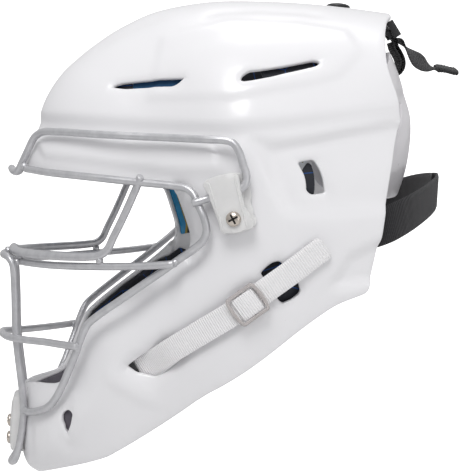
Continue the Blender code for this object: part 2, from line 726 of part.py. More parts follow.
def chin_front(y, z, off):
    """Point in front of the chin, at half width y and height z."""
    lo, hi = -190.0, -60.0
    for _ in range(50):
        mid = (lo + hi) / 2
        th = math.atan2(z - SHELL.pz, mid - SHELL.px)
        s = math.hypot(mid - SHELL.px, z - SHELL.pz) / SHELL.radius(th)
        g = (abs(y) / (SHELL.w * float(front_taper(mid)))) ** SHELL.n + s ** SHELL.n - 1
        if g > 0:
            lo = mid
        else:
            hi = mid
    return hi - off


def chin_block(w, z0, z1, off0, off1, ny=8, nz=5):
    vs, fs = [], []
    ys = np.linspace(-w, w, ny + 1)
    zs = np.linspace(z0, z1, nz + 1)
    for off in (off1, off0):
        for zz in zs:
            for yy in ys:
                vs.append((chin_front(0.0 if off == off1 else yy, zz, off), yy, zz))
    m = (ny + 1) * (nz + 1)
    q = lambda i, j: j * (ny + 1) + i
    for j in range(nz):
        for i in range(ny):
            fs.append([q(i, j), q(i + 1, j), q(i + 1, j + 1), q(i, j + 1)])
            fs.append([m + q(i, j), m + q(i, j + 1), m + q(i + 1, j + 1), m + q(i + 1, j)])
    rim = ([q(i, 0) for i in range(ny)] + [q(ny, j) for j in range(nz)]
           + [q(i, nz) for i in range(ny, 0, -1)] + [q(0, j) for j in range(nz, 0, -1)])
    for k in range(len(rim)):
        a, b = rim[k], rim[(k + 1) % len(rim)]
        fs.append([b, a, a + m, b + m])
    return np.array(vs), fs


chin_clip = add("chin_cage_clip", *chin_block(16.2, *CHIN_CLIP_Z, 0.8, 8.2), "clip")
chin_z = (-126.5, -138.5)
chin_x = [chin_front(0, z, 0) for z in chin_z]
for i, (cx, cz) in enumerate(zip(chin_x, chin_z)):
    cut(chin_clip, turned([(0, -14), (2.4, -14), (2.4, 14), (0, 14)], (cx, 0, cz), (-1, 0, 0), 12),
        f"chin_clip_bore_{i}")
    cut(shell, turned([(0, -14), (2.6, -14), (2.6, 6), (0, 6)], (cx, 0, cz), (-1, 0, 0), 12),
        f"chin_shell_bore_{i}")
CHIN_HEAD = [(0, -7.5), (SCREW_R, -7.5), (SCREW_R, 8.6), (SCREW_HEAD_R, 8.6), (SCREW_HEAD_R, 9.4),
             (3.0, 10.6), (0, 11.0)]
CHIN_NUT = [(2.3, -4.4), (5.4, -4.4), (5.4, -7.0), (2.3, -7.0)]
for where, cx, cz in zip(("upper", "lower"), chin_x, chin_z):
    add(f"{where}_chin_screw", *turned(CHIN_HEAD, (cx, 0, cz), (-1, 0, 0), 14), "screw")
    add(f"{where}_chin_nut", *turned(CHIN_NUT, (cx, 0, cz), (-1, 0, 0), 12), "screw")

# ------------------------------------------------------------------ pads
def inner_pad(name, poly, near, far, finish="foam", midline=False, pitch=15.0):
    """Foam pad inside the shell, between two depths below its surface."""
    vf = sheet(SHELL, [poly], pitch, midline=midline, step=13.0, offs=(-near, -far))
    return vf


BROW_PAD = (outline_run(SHELL, angle_of(SHELL, -137.5, 66), angle_of(SHELL, -117, 112), 5)
            + [(-108, 108), (-72, 98), (-68, 90), (-70, 60), (-72, 45), (-100, 48.5), (-125, 51.5),
               (-136, 53)]
            + outline_run(SHELL, angle_of(SHELL, -142.5, 53), angle_of(SHELL, -141, 58), 2))
TEMPLE_PAD = [(-60, 100), (-44, 106), (-27, 106), (-22, 60), (-13, 37), (-5, 24), (-3, 7), (-13, 7),
              (-18, 24), (-22, 35), (-34, 50), (-60, 53), (-62, 70)]
JAW_PAD = [(-28, -20), (-13, -21), (0, -32), (0, -48), (-22, -64), (-36, -56), (-58, -66),
           (-74, -80), (-91, -86), (-99, -78), (-94, -61), (-70, -43), (-48, -29)]
SIDE_PAD = [(-12, 60), (5, 84), (55, 88), (69, 74), (68, 52), (54, 60), (28, 60), (22, 36),
            (8, 30), (-8, 40)]
CHIN_PAD = (outline_run(SHELL, angle_of(SHELL, -141, -150) + 2 * math.pi,
                        angle_of(SHELL, -143, -114) + 2 * math.pi, 5)
            + [(-136, -112), (-127, -113), (-123, -115), (-123, -126), (-118, -134), (-116, -146),
               (-130, -152)])
vf = inner_pad("brow_pad", BROW_PAD, 4.4, 16.0, midline=True)
add("brow_pad", *vf, "foam")
for name, poly, near, far, fin in (("temple_pad", TEMPLE_PAD, 8.2, 20.0, "foam"),
                                   ("jaw_pad", JAW_PAD, 11.0, 23.0, "cover"),
                                   ("side_pad", SIDE_PAD, 7.2, 19.0, "foam")):
    vf = inner_pad(name, poly, near, far)
    add(f"left_{name}", *vf, fin)
    add(f"right_{name}", *mirror_y(vf), fin)
add("chin_pad", *inner_pad("chin_pad", CHIN_PAD, 8.3, 14.5, midline=True), "cover")


def dome_height(x, y, off):
    """Height of the shell over x, y, less an offset along the normal."""
    lo, hi = 60.0, 175.0
    for _ in range(45):
        z = (lo + hi) / 2
        th = math.atan2(z - SHELL.pz, x - SHELL.px)
        s = math.hypot(x - SHELL.px, z - SHELL.pz) / SHELL.radius(th)
        g = (abs(y) / (SHELL.w * float(front_taper(x)))) ** SHELL.n + s ** SHELL.n - 1
        if g > 0:
            hi = z
        else:
            lo = z
    p = np.array([[x, y if abs(y) > 1e-6 else 1e-6, lo]])
    return (p + SHELL.normal(p) * off)[0]


def crown_block(xc, hx, hy, z_low, top_off, nx=6, ny=6):
    """Pad with a flat underside and a top that follows the crown."""
    vs, fs = [], []
    xs = np.linspace(xc - hx, xc + hx, nx + 1)
    ys = np.linspace(-hy, hy, ny + 1)
    for yy in ys:
        for xx in xs:
            q = dome_height(xx, yy, top_off)
            vs.append((xx, yy, q[2] if q[2] > z_low + 2 else z_low + 2))
    for yy in ys:
        for xx in xs:
            vs.append((xx, yy, z_low))
    m = (nx + 1) * (ny + 1)
    q = lambda i, j: j * (nx + 1) + i
    for j in range(ny):
        for i in range(nx):
            fs.append([q(i, j), q(i + 1, j), q(i + 1, j + 1), q(i, j + 1)])
            fs.append([m + q(i, j), m + q(i, j + 1), m + q(i + 1, j + 1), m + q(i + 1, j)])
    rim = ([q(i, 0) for i in range(nx)] + [q(nx, j) for j in range(ny)]
           + [q(i, ny) for i in range(nx, 0, -1)] + [q(0, j) for j in range(ny, 0, -1)])
    for k in range(len(rim)):
        a, b = rim[k], rim[(k + 1) % len(rim)]
        fs.append([b, a, a + m, b + m])
    return np.array(vs), fs


add("crown_pad", *crown_block(15, 44, 34, 141.0, -5.2), "foam")

# ------------------------------------------------------------------ jaw straps
STRAP_LINE = [(49, -1), (38, -9), (27, -17), (14, -26), (5, -32.5), (-2, -38), (-12, -45),
              (-23, -52.5), (-36, -61.5), (-48, -70), (-56, -76), (-63, -81), (-70, -86), (-77, -91)]
STRAP_LIFT = [1.9, 2.2, 2.6, 3.2, 3.6, 3.6, 3.4, 2.9, 2.4, 1.2, -2.6, -7.0, -8.4, -8.4]


def shell_outer(x, z, off):
    p = SHELL.at(x, z)
    n = SHELL.normal(p[None])[0]
    return p + n * (off + float(relief(np.array([[x, z]]))[0])), n


line = catmull([(x, z, o) for (x, z), o in zip(STRAP_LINE, STRAP_LIFT)], step=7.0)
pts, nrm = zip(*[shell_outer(x, z, o) for x, z, o in line])
pts, nrm = np.array(pts), np.array(nrm)
tan = np.gradient(pts, axis=0)
tan /= np.linalg.norm(tan, axis=1)[:, None]
strap = ribbon(pts, np.cross(nrm, tan), STRAP_W, STRAP_T)
add("left_jaw_strap", *strap, "elastic")
add("right_jaw_strap", *mirror_y(strap), "elastic")
ap, an = shell_outer(-73.0, -88.2, -5.7)
at_dir = tan[-2]
anchor = box(ap, at_dir, np.cross(an, at_dir), (6.0, 9.0, 0.9))
add("left_jaw_strap_anchor", *anchor, "black")
add("right_jaw_strap_anchor", *mirror_y(anchor), "black")

# ------------------------------------------------------------------ slide buckles
BUCKLE_XZ = (0.0, -37.0)
bp, bn = shell_outer(*BUCKLE_XZ, 0.0)
bi = int(np.argmin(np.linalg.norm(pts - (bp + bn * 3.6), axis=1)))
bt = tan[bi] - (tan[bi] @ bn) * bn
bt /= np.linalg.norm(bt)
bw = np.cross(bn, bt)
bc = pts[bi] - 0.0 * bn                       # middle of the strap at the buckle
TOPZ = STRAP_T / 2 + 0.5 + 0.9                # end bars over the strap
LOWZ = -(STRAP_T / 2 + 0.5 + 0.7)             # middle bar under the strap


def buckle_parts():
    rails = [box(bc + bw * s * 9.1 + bn * 0.25, bt, bw, (11.5, 0.75, 2.05)) for s in (-1, 1)]
    ends = [box(bc + bt * s * 10.3 + bn * TOPZ, bt, bw, (1.2, 9.4, 0.9)) for s in (-1, 1)]
    middle = [box(bc + bn * LOWZ, bt, bw, (1.3, 9.4, 0.7))]
    return rails[:1] + ends + middle + rails[1:]


join_boxes("left_strap_buckle", buckle_parts(), "clip", origin=bc)
join_boxes("right_strap_buckle", [mirror_y(b) for b in buckle_parts()], "clip", origin=bc * [1, -1, 1])

# ------------------------------------------------------------------ back plate
top_mid = angle_of(BACK, 107.8, 127.0)
low_mid = angle_of(BACK, 113.5, 31.5)
rear_line = outline_run(BACK, top_mid, low_mid, 12)
PLATE = rear_line + [(107, 29), (95, 28), (83, 30), (75, 38), (72, 60), (75, 88), (83, 103),
                     (94, 111), (101, 118), (105, 126)]
PLATE_VENT = [(101, 65), (106, 67), (110.5, 79), (112, 92), (109.5, 93.5), (103, 83)]
vf = sheet(BACK, [PLATE, PLATE_VENT], 13.0, midline=True, step=10.0, offs=(0.0, -3.0))
HINGE = (104.5, 0.0, 129.0)
plate = add("back_plate", *vf, "shell", origin=HINGE)
cut(plate, box((112.6, 0, 112.5), (0.4, 0, -0.91), (0, 1, 0), (2.4, 11.5, 9)), "plate_slot")
BACK_PAD = (outline_run(BACK, angle_of(BACK, 119, 97), angle_of(BACK, 114.5, 33.5), 8)
            + [(105, 34), (93, 35), (87, 46), (87, 78), (95, 96), (103, 101)])
vf = sheet(BACK, [BACK_PAD], 15.0, midline=True, step=14.0, offs=(-3.5, -14.0))
add("back_plate_pad", *vf, "foam", origin=HINGE)

# ------------------------------------------------------------------ top strap
add("top_strap_cap", *turned([(0, 0.6), (8.0, 0.6), (8.2, 1.2), (6.5, 2.6), (3.0, 3.1), (0, 3.2)],
                             dome_height(76.0, 0.0, 0.0), (0.06, 0, 1), 18), "black")
WEB = [(82, 151.5), (92, 150), (101, 147.5), (107.5, 143.5)]
web_in = ribbon([(x, 0, z) for x, z in catmull(WEB, step=6)],
                [(0, 1, 0)] * len(catmull(WEB, step=6)), WEB_W, WEB_T)
LOOP = [(106.8, 138.0), (103.0, 133.5), (101.4, 127), (101.9, 120), (104.4, 115), (108.6, 112.6),
        (113.6, 112.0), (118.6, 113.6), (121.6, 117.6), (122.0, 123), (119.6, 129), (117.0, 133.2),
        (116.6, 136.4), (119.0, 137.8), (122.6, 134.4), (126.5, 130), (132, 124.6), (139, 120),
        (147, 117.8), (155, 117), (161, 116.0)]
lp = catmull(LOOP, step=4.0)
m = len(lp)
tilt = 0.75 * np.sin(np.clip((lp[:, 0] - 124) / 20, 0, 1) * math.pi)
across = np.stack([0 * tilt, np.cos(tilt), np.sin(tilt)], 1)
web_loop = ribbon([(x, 0, z) for x, z in lp], across, WEB_W, WEB_T)
add("top_strap_inner_web", *web_in, "web")
add("top_strap", *web_loop, "web")
LOCK = (112.6, 0.0, 144.2)
ld = np.array([0.53, 0, -0.85])
ldn = np.array([0.85, 0, 0.53])
blocks = [box(np.array(LOCK) + ldn * 0.6 + np.array([0, s * 12.0, 0]), ld, (0, 1, 0), (6.0, 1.4, 2.4))
          for s in (-1, 1)]
bars = [box(np.array(LOCK) + ld * d + ldn * h, ld, (0, 1, 0), (1.1, 12.4, t))
        for d, h, t in ((-4.9, 0, 1.7), (0.1, 1.4, 1.4), (4.9, 0.4, 1.6))]
join_boxes("top_strap_buckle", [blocks[0]] + bars + [blocks[1]], "black", origin=LOCK)

# ------------------------------------------------------------------ rear strap
NECK = [(70, -98.2, 6), (78, -97.6, 8), (87, -96.6, 10.5), (97, -93, 14), (112, -80, 20),
        (128, -56, 26.5), (140, -28, 31), (145, -6, 32.5), (145.2, 3, 32.6), (144.6, 10, 32.4)]
nk = catmull([(x, y, z) for x, y, z in NECK], step=8.0)
nt = np.gradient(nk, axis=0)
nt /= np.linalg.norm(nt, axis=1)[:, None]
wd = np.cross(nt, np.cross([0, 0, 1.0], nt))
left_neck = ribbon(nk, np.tile([0.06, 0, 1.0], (len(nk), 1)), NECK_W, NECK_T)
add("left_rear_strap", *left_neck, "web")
NECK2 = [(x, -y, z) for x, y, z in NECK[:6]] + [(137.6, 28, 31), (141.4, 8, 32.4), (142, -3, 32.6),
                                              (141.8, -9, 32.4)]
nk2 = catmull(NECK2, step=8.0)
right_neck = ribbon(nk2, np.tile([0.06, 0, 1.0], (len(nk2), 1)), NECK_W, NECK_T)
add("right_rear_strap", *right_neck, "web")
rp = SHELL.at(74.0, 5.0)
rn = SHELL.normal(rp[None])[0]
for where, dz in (("lower", -6.0), ("upper", 6.0)):
    c = SHELL.at(74.0, 7.0 + dz)
    n = SHELL.normal(c[None])[0]
    rivet = turned([(0, -11.0), (4.0, -11.0), (4.0, -12.6), (0, -13.0)], c, n, 12)
    add(f"left_{where}_rear_rivet", *rivet, "screw")
    add(f"right_{where}_rear_rivet", *mirror_y(rivet), "screw")
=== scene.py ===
"""Looks of the catcher's mask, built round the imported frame.

Positions are worked out in the design frame in millimetres, as in the solid
model, and place() turns them into the row's frame in metres.
"""
import math

import bpy
import bmesh
import numpy as np
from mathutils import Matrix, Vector, geometry


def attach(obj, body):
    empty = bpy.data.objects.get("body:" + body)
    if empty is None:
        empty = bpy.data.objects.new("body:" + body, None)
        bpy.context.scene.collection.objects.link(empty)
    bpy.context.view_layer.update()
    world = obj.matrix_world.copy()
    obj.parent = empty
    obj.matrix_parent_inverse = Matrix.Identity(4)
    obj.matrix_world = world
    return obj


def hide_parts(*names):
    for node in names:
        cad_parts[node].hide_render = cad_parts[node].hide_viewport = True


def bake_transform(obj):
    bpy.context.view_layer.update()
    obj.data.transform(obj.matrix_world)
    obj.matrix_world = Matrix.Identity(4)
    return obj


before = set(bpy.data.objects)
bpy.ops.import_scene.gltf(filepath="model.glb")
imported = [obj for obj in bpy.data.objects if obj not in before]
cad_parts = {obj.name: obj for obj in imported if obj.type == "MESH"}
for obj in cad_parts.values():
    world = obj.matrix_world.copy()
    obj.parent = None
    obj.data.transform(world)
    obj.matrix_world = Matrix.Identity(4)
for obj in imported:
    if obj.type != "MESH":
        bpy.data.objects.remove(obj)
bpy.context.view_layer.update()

ORIGIN = (15.0, 0.0, 141.0)
SHELL_T = 3.4
BAR_D = 4.7
R = BAR_D / 2
EYE_BAR = (6.2, 4.4)
SCREW_HEAD_R = 4.5
SCREW_R = 1.9
STRAP_W, STRAP_T = 16.0, 1.6
WEB_W, WEB_T = 19.0, 1.5
NECK_W, NECK_T = 24.0, 2.0


def place(points):
    p = np.asarray(points, float)
    return (p - np.array(ORIGIN)) * 0.001


# ------------------------------------------------------------------ small maths
def smooth(t):
    t = np.clip(t, 0.0, 1.0)
    return t * t * (3 - 2 * t)


def catmull(points, step=None, count=None, closed=False):
    """A centripetal Catmull-Rom curve through points, resampled evenly."""
    p = np.asarray(points, float)
    if closed:
        p = np.vstack([p[-1], p, p[0], p[1]])
    else:
        p = np.vstack([2 * p[0] - p[1], p, 2 * p[-1] - p[-2]])
    out = []
    for i in range(1, len(p) - 2):
        p0, p1, p2, p3 = p[i - 1], p[i], p[i + 1], p[i + 2]
        t1 = np.linalg.norm(p1 - p0) ** 0.5
        t2 = t1 + np.linalg.norm(p2 - p1) ** 0.5
        t3 = t2 + np.linalg.norm(p3 - p2) ** 0.5
        for t in np.linspace(t1, t2, 24, endpoint=False):
            a1 = p0 * (t1 - t) / t1 + p1 * t / t1
            a2 = p1 * (t2 - t) / (t2 - t1) + p2 * (t - t1) / (t2 - t1)
            a3 = p2 * (t3 - t) / (t3 - t2) + p3 * (t - t2) / (t3 - t2)
            b1 = a1 * (t2 - t) / t2 + a2 * t / t2
            b2 = a2 * (t3 - t) / (t3 - t1) + a3 * (t - t1) / (t3 - t1)
            out.append(b1 * (t2 - t) / (t2 - t1) + b2 * (t - t1) / (t2 - t1))
    out.append(p[-2])
    return resample(np.array(out), step, count)


def resample(p, step=None, count=None):
    p = np.asarray(p, float)
    d = np.r_[0, np.cumsum(np.linalg.norm(np.diff(p, axis=0), axis=1))]
    if count is None:
        count = max(2, int(round(d[-1] / step)) + 1)
    s = np.linspace(0, d[-1], count)
    return np.stack([np.interp(s, d, p[:, k]) for k in range(p.shape[1])], 1)


# ------------------------------------------------------------------ body surface
class Dome:
    """A closed convex surface seen from the side.

    The side outline is a smooth loop about a pole on the Y axis; between the
    pole (half width) and the outline the section is a superellipse.
    """

    def __init__(self, outline, pole, half_width, power, taper):
        c = catmull(outline, count=3000, closed=True)
        self.px, self.pz = pole
        t = np.arctan2(c[:, 1] - self.pz, c[:, 0] - self.px)
        r = np.hypot(c[:, 1] - self.pz, c[:, 0] - self.px)
        o = np.argsort(t)
        t, r = t[o], r[o]
        self.t = np.concatenate([t - 2 * np.pi, t, t + 2 * np.pi])
        self.r = np.tile(r, 3)
        self.w, self.n, self.taper = half_width, power, taper

    def radius(self, th):
        return np.interp(th, self.t, self.r)

    def uv(self, xz):
        xz = np.atleast_2d(np.asarray(xz, float))
        dx, dz = xz[:, 0] - self.px, xz[:, 1] - self.pz
        th = np.arctan2(dz, dx)
        s = np.clip(np.hypot(dx, dz) / self.radius(th), 0, 1)
        ph = np.arcsin(s ** (self.n / 2))
        return np.stack([ph * np.cos(th), ph * np.sin(th)], 1)

    def point(self, uv):
        uv = np.atleast_2d(np.asarray(uv, float))
        ph = np.minimum(np.hypot(uv[:, 0], uv[:, 1]), np.pi / 2)
        th = np.arctan2(uv[:, 1], uv[:, 0])
        s = np.sin(ph) ** (2 / self.n)
        r = s * self.radius(th)
        x, z = self.px + r * np.cos(th), self.pz + r * np.sin(th)
        y = -self.w * np.maximum(np.cos(ph), 0) ** (2 / self.n) * self.taper(x)
        y[ph > np.pi / 2 - 1e-6] = 0.0
        return np.stack([x, y, z], 1)

    def _g(self, x, y, z):
        dx, dz = x - self.px, z - self.pz
        th = np.arctan2(dz, dx)
        s = np.hypot(dx, dz) / self.radius(th)
        return (np.abs(y) / (self.w * self.taper(x))) ** self.n + s ** self.n

    def normal(self, p):
        x, y, z = np.asarray(p, float).T
        h = 1.2
        gx = (self._g(x + h, y, z) - self._g(x - h, y, z)) / (2 * h)
        gz = (self._g(x, y, z + h) - self._g(x, y, z - h)) / (2 * h)
        wt = self.w * self.taper(x)
        gy = self.n * (np.abs(y) / wt) ** (self.n - 1) / wt * np.sign(y)
        g = np.stack([gx, gy, gz], 1)
        return g / np.maximum(np.linalg.norm(g, axis=1), 1e-12)[:, None]

    def at(self, x, z, off=0.0):
        """Point on the left (-Y) side above side-view position x, z."""
        p = self.point(self.uv([[x, z]]))
        return (p + self.normal(p) * off)[0]


def front_taper(x):
    return 1 - 0.23 * smooth((5 - np.asarray(x, float)) / 80)


def no_taper(x):
    return np.ones_like(np.asarray(x, float))


# side outline: brow, crown, then the unseen back, bottom, chin and face
OUTLINE = [(-143, 49), (-142, 55), (-135, 73), (-127.5, 95.5), (-116.5, 112.5), (-105, 123.5),
           (-88, 137), (-73, 146), (-53, 155), (-17.5, 162), (20, 163), (62, 161), (107, 156),
           (145, 150), (180, 134), (205, 104), (217, 60), (210, -2), (182, -65), (140, -114),
           (77, -160), (7, -191), (-56, -198), (-98, -188), (-129, -165), (-141, -157),
           (-145, -146), (-145, -138), (-144.5, -126), (-143.5, -112), (-144, -97), (-150, -60),
           (-155, -20), (-152, 20)]
SHELL = Dome(OUTLINE, (8, 26), 110, 2.15, front_taper)

BACK_OUTLINE = [(104.8, 134.5), (108, 127.5), (113.6, 114.5), (119.6, 95), (122.4, 84), (123, 72),
                (122, 60), (120, 48), (116.5, 36), (111.5, 24), (97, 0), (60, -25), (0, -20),
                (-60, 20), (-70, 80), (-50, 140), (0, 176), (60, 174), (91, 155)]
BACK = Dome(BACK_OUTLINE, (25, 74), 97, 2.6, no_taper)


# ------------------------------------------------------------------ features
def seg_dist(p, line):
    """Distance of points p to a polyline, and the position along it (0..1)."""
    p = np.asarray(p, float)
    a, b = np.asarray(line[:-1], float), np.asarray(line[1:], float)
    best = np.full(len(p), 1e9)
    where = np.zeros(len(p))
    side = np.zeros(len(p))
    for i in range(len(a)):
        d = b[i] - a[i]
        L2 = max(d @ d, 1e-12)
        t = np.clip(((p - a[i]) @ d) / L2, 0, 1)
        q = a[i] + t[:, None] * d
        dist = np.linalg.norm(p - q, axis=1)
        m = dist < best
        best[m] = dist[m]
        where[m] = (i + t[m]) / len(a)
        side[m] = np.sign((p[m, 0] - a[i][0]) * d[1] - (p[m, 1] - a[i][1]) * d[0])
    return best, where, side


def inside(p, poly):
    p = np.asarray(p, float)
    x, y = p[:, 0], p[:, 1]
    r = np.zeros(len(p), bool)
    n = len(poly)
    for i in range(n):
        x0, y0 = poly[i]
        x1, y1 = poly[(i + 1) % n]
        if y0 == y1:
            continue
        c = ((y0 > y) != (y1 > y)) & (x < (x1 - x0) * (y - y0) / (y1 - y0) + x0)
        r ^= c
    return r


def plateau(p, poly, rim):
    """1 well inside a closed outline, 0 outside, with a soft rim."""
    d, _, _ = seg_dist(p, list(poly) + [poly[0]])
    sgn = np.where(inside(p, poly), 1, -1)
    return smooth(0.5 + sgn * d / (2 * rim))


FACE_EDGE = [(-136, -98.5), (-128, -98), (-120, -96.5), (-114, -91), (-106.5, -70.5), (-103, -62.5),
             (-98.5, -55), (-75.7, -37.8), (-53.7, -22.3), (-42, -13.5), (-34.5, -6.5), (-33, 4),
             (-37.5, 18), (-42.5, 32.5), (-46.5, 36.5), (-56, 37.5), (-79, 40), (-118, 45), (-136, 47.5)]
TEMPLE_EDGE = [(-34.5, -6.5), (-33, 4), (-37.5, 18), (-42.5, 32.5)]
CHEEK_EDGE = [(-136, -98.5), (-128, -98), (-120, -96.5), (-114, -91), (-106.5, -70.5), (-103, -62.5),
              (-98.5, -55), (-75.7, -37.8), (-53.7, -22.3), (-42, -13.5), (-34.5, -6.5)]
BROW_PANEL = [(-134, 62), (-120, 67), (-92, 65.5), (-56, 63), (-34, 61.5), (-26, 59), (-24, 54),
              (-28, 49), (-36, 45), (-48, 44.5), (-72, 46.5), (-100, 50), (-128, 53)]
EAR_RECESS = [(4, 66), (22, 65.5), (45, 69), (70, 74), (100, 80), (104, 20), (87, 23), (40, 20),
              (30, 20), (23, 25)]
REAR_ARROW = [(-60, 93), (-10, 93), (45, 103), (62, 108), (77, 124), (70, 138), (40, 143),
              (-6, 145), (-50, 135)]


def relief(xz):
    """Height of the solid model's moulded features over the plain surface."""
    h = 1.8 * plateau(xz, BROW_PANEL, 4)
    h = h - 2.2 * plateau(xz, EAR_RECESS, 5)
    h = h + 1.4 * plateau(xz, REAR_ARROW, 5)
    return h


def step_line(xz, line, drop, soft, fade):
    """A soft step that falls away below a line and recovers over fade."""
    d, w, side = seg_dist(xz, line)
    below = np.where(side > 0, d, 0.0)
    ends = smooth(w * 8) * smooth((1 - w) * 8)
    return -drop * smooth(below / soft) * np.exp(-below / fade) * ends


def groove(xz, line, depth, width):
    d, w, _ = seg_dist(xz, line)
    return -depth * np.exp(-(d / width) ** 2) * smooth(w * 5) * smooth((1 - w) * 5)


BROW_FINE = [(-134, 65), (-120, 69.5), (-92, 68.4), (-56, 66.2), (-34, 64), (-24, 61.5), (-19, 56),
             (-17, 48), (-24, 46), (-36, 45.5), (-48, 46), (-72, 49), (-100, 53), (-128, 56)]
WEDGE = [(-92, -88), (-84, -84), (-76, -91), (-60, -101), (-52, -101), (-56, -106), (-62, -106), (-78, -98)]
CREASE_A = [(-140, 88), (-124, 86), (-66, 81), (-11, 78), (36, 83), (90, 90), (118, 94)]
CREASE_B = [(8, 63), (17, 65), (40, 69), (66, 74), (98, 79), (125, 84)]
LOW_SCOOP = [(92, 4), (85, 0), (66, -8), (54, -28), (79, -25), (92, -22)]
STRAP_BED = [(-80, -84), (-76, -79), (-52, -60), (-14, -34), (4, -22), (18, -33), (2, -47), (-34, -71),
             (-55, -94), (-60, -95)]
FLUTE_A = [(-98, 126), (-80, 137), (-62, 145.5), (-44, 151)]
FLUTE_B = [(-26, 147), (-14, 151.5), (14, 153.5), (44, 152), (66, 149)]
RIDGE_C = [(-66, 117), (-30, 130), (10, 138), (40, 141)]
CHIN_CHANNEL = [(-122, -118), (-117, -132), (-111, -141)]
CHIN_CREASE = [(-139, -112), (-138, -128), (-138, -146), (-137, -158)]


def fine_relief(xz):
    """Height of the moulded features as they are seen."""
    h = 2.3 * plateau(xz, BROW_FINE, 2.6)
    h = h - 2.6 * plateau(xz, EAR_RECESS, 4)
    h = h + 1.3 * plateau(xz, REAR_ARROW, 3)
    h = h - 2.4 * plateau(xz, LOW_SCOOP, 3)
    h = h - 2.4 * plateau(xz, STRAP_BED, 3.0) + 1.1 * plateau(xz, WEDGE, 2.2)
    h = h + step_line(xz, CREASE_A, 3.4, 9, 34)
    h = h + step_line(xz, CREASE_B, 2.6, 6, 26)
    h = h + groove(xz, FLUTE_A, 0.9, 3.5) + groove(xz, FLUTE_B, 0.9, 3.0)
    h = h + groove(xz, RIDGE_C, 0.5, 6)
    h = h + groove(xz, CHIN_CHANNEL, 1.3, 4.5) + groove(xz, CHIN_CREASE, 0.8, 2.0)
    for hole in VENT_LOOPS:
        d, _, _ = seg_dist(xz, list(hole) + [hole[0]])
        h = h - 0.8 * np.clip(1 - d / 3.0, 0, 1) ** 2
    return h


def fine_shell(uv, off):
    """The seen shell surface with relief and rolled edges, left half."""
    p = SHELL.point(uv)
    n = SHELL.normal(p)
    xz = p[:, [0, 2]]
    q = p + n * (fine_relief(xz) + off)[:, None]
    d, _, _ = seg_dist(xz, TEMPLE_EDGE)
    roll = 23.0 * np.clip(1 - d / 9.0, 0, 1) ** 2
    d, w, _ = seg_dist(xz, CHEEK_EDGE)
    roll = np.maximum(roll, (11.0 - 5.0 * w) * np.clip(1 - d / 28.0, 0, 1) ** 2)
    q[:, 1] = np.minimum(q[:, 1] + roll * np.minimum(1, -p[:, 1] / 20.0), 0.0)
    q[p[:, 1] > -1e-9, 1] = 0.0
    return q, n


def shell_points(uv, off):
    """Shell surface with its relief and its rolled edges, left half."""
    p = SHELL.point(uv)
    n = SHELL.normal(p)
    xz = p[:, [0, 2]]
    q = p + n * (relief(xz) + off)[:, None]
    d, _, _ = seg_dist(xz, TEMPLE_EDGE)
    roll = 20.0 * np.clip(1 - d / 10.0, 0, 1) ** 2
    d, w, _ = seg_dist(xz, CHEEK_EDGE)
    roll = np.maximum(roll, (11.0 - 5.0 * w) * np.clip(1 - d / 28.0, 0, 1) ** 2)
    q[:, 1] = np.minimum(q[:, 1] + roll * np.minimum(1, -p[:, 1] / 20.0), 0.0)
    q[p[:, 1] > -1e-9, 1] = 0.0
    return q, n


# ------------------------------------------------------------------ materials
def nodes_of(m):
    nt = m.node_tree
    return nt, nt.nodes, nt.links, nt.nodes["Principled BSDF"]


def material(name, colour, rough, metal=0.0, **sockets):
    m = bpy.data.materials.new(name)
    m.use_nodes = True
    nt, nd, ln, b = nodes_of(m)
    b.inputs["Base Color"].default_value = (*colour, 1)
    b.inputs["Roughness"].default_value = rough
    b.inputs["Metallic"].default_value = metal
    for k, v in sockets.items():
        b.inputs[k.replace("_", " ")].default_value = v
    return m


def coords(nd, ln, kind="Object", scale=None):
    tc = nd.new("ShaderNodeTexCoord")
    out = tc.outputs[kind]
    if scale is not None:
        mp = nd.new("ShaderNodeMapping")
        mp.inputs["Scale"].default_value = scale
        ln.new(out, mp.inputs["Vector"])
        out = mp.outputs["Vector"]
    return out


def noise(nd, ln, vec, scale, detail=3.0, rough=0.5):
    n = nd.new("ShaderNodeTexNoise")
    n.inputs["Scale"].default_value = scale
    n.inputs["Detail"].default_value = detail
    n.inputs["Roughness"].default_value = rough
    ln.new(vec, n.inputs["Vector"])
    return n.outputs["Fac"]


def ramp(nd, ln, fac, stops, mode="LINEAR"):
    r = nd.new("ShaderNodeValToRGB")
    r.color_ramp.interpolation = mode
    el = r.color_ramp.elements
    while len(el) < len(stops):
        el.new(0.5)
    for e, (p, c) in zip(el, stops):
        e.position = p
        e.color = (*c, 1)
    ln.new(fac, r.inputs["Fac"])
    return r.outputs["Color"]


def bump(nd, ln, b, height, strength, distance, normal=None):
    bp = nd.new("ShaderNodeBump")
    bp.inputs["Strength"].default_value = strength
    bp.inputs["Distance"].default_value = distance
    ln.new(height, bp.inputs["Height"])
    if normal is not None:
        ln.new(normal, bp.inputs["Normal"])
    if b is not None:
        ln.new(bp.outputs["Normal"], b.inputs["Normal"])
    return bp.outputs["Normal"]


def maths(nd, ln, op, a, b=None, c=None):
    m = nd.new("ShaderNodeMath")
    m.operation = op
    for i, v in enumerate((a, b, c)):
        if v is None:
            continue
        if hasattr(v, "is_output"):
            ln.new(v, m.inputs[i])
        else:
            m.inputs[i].default_value = v
    return m.outputs[0]


def wave(nd, ln, vec, scale, direction="X", distort=0.0):
    w = nd.new("ShaderNodeTexWave")
    w.bands_direction = direction
    w.inputs["Scale"].default_value = scale
    w.inputs["Distortion"].default_value = distort
    w.inputs["Detail"].default_value = 1.0
    ln.new(vec, w.inputs["Vector"])
    return w.outputs["Fac"]


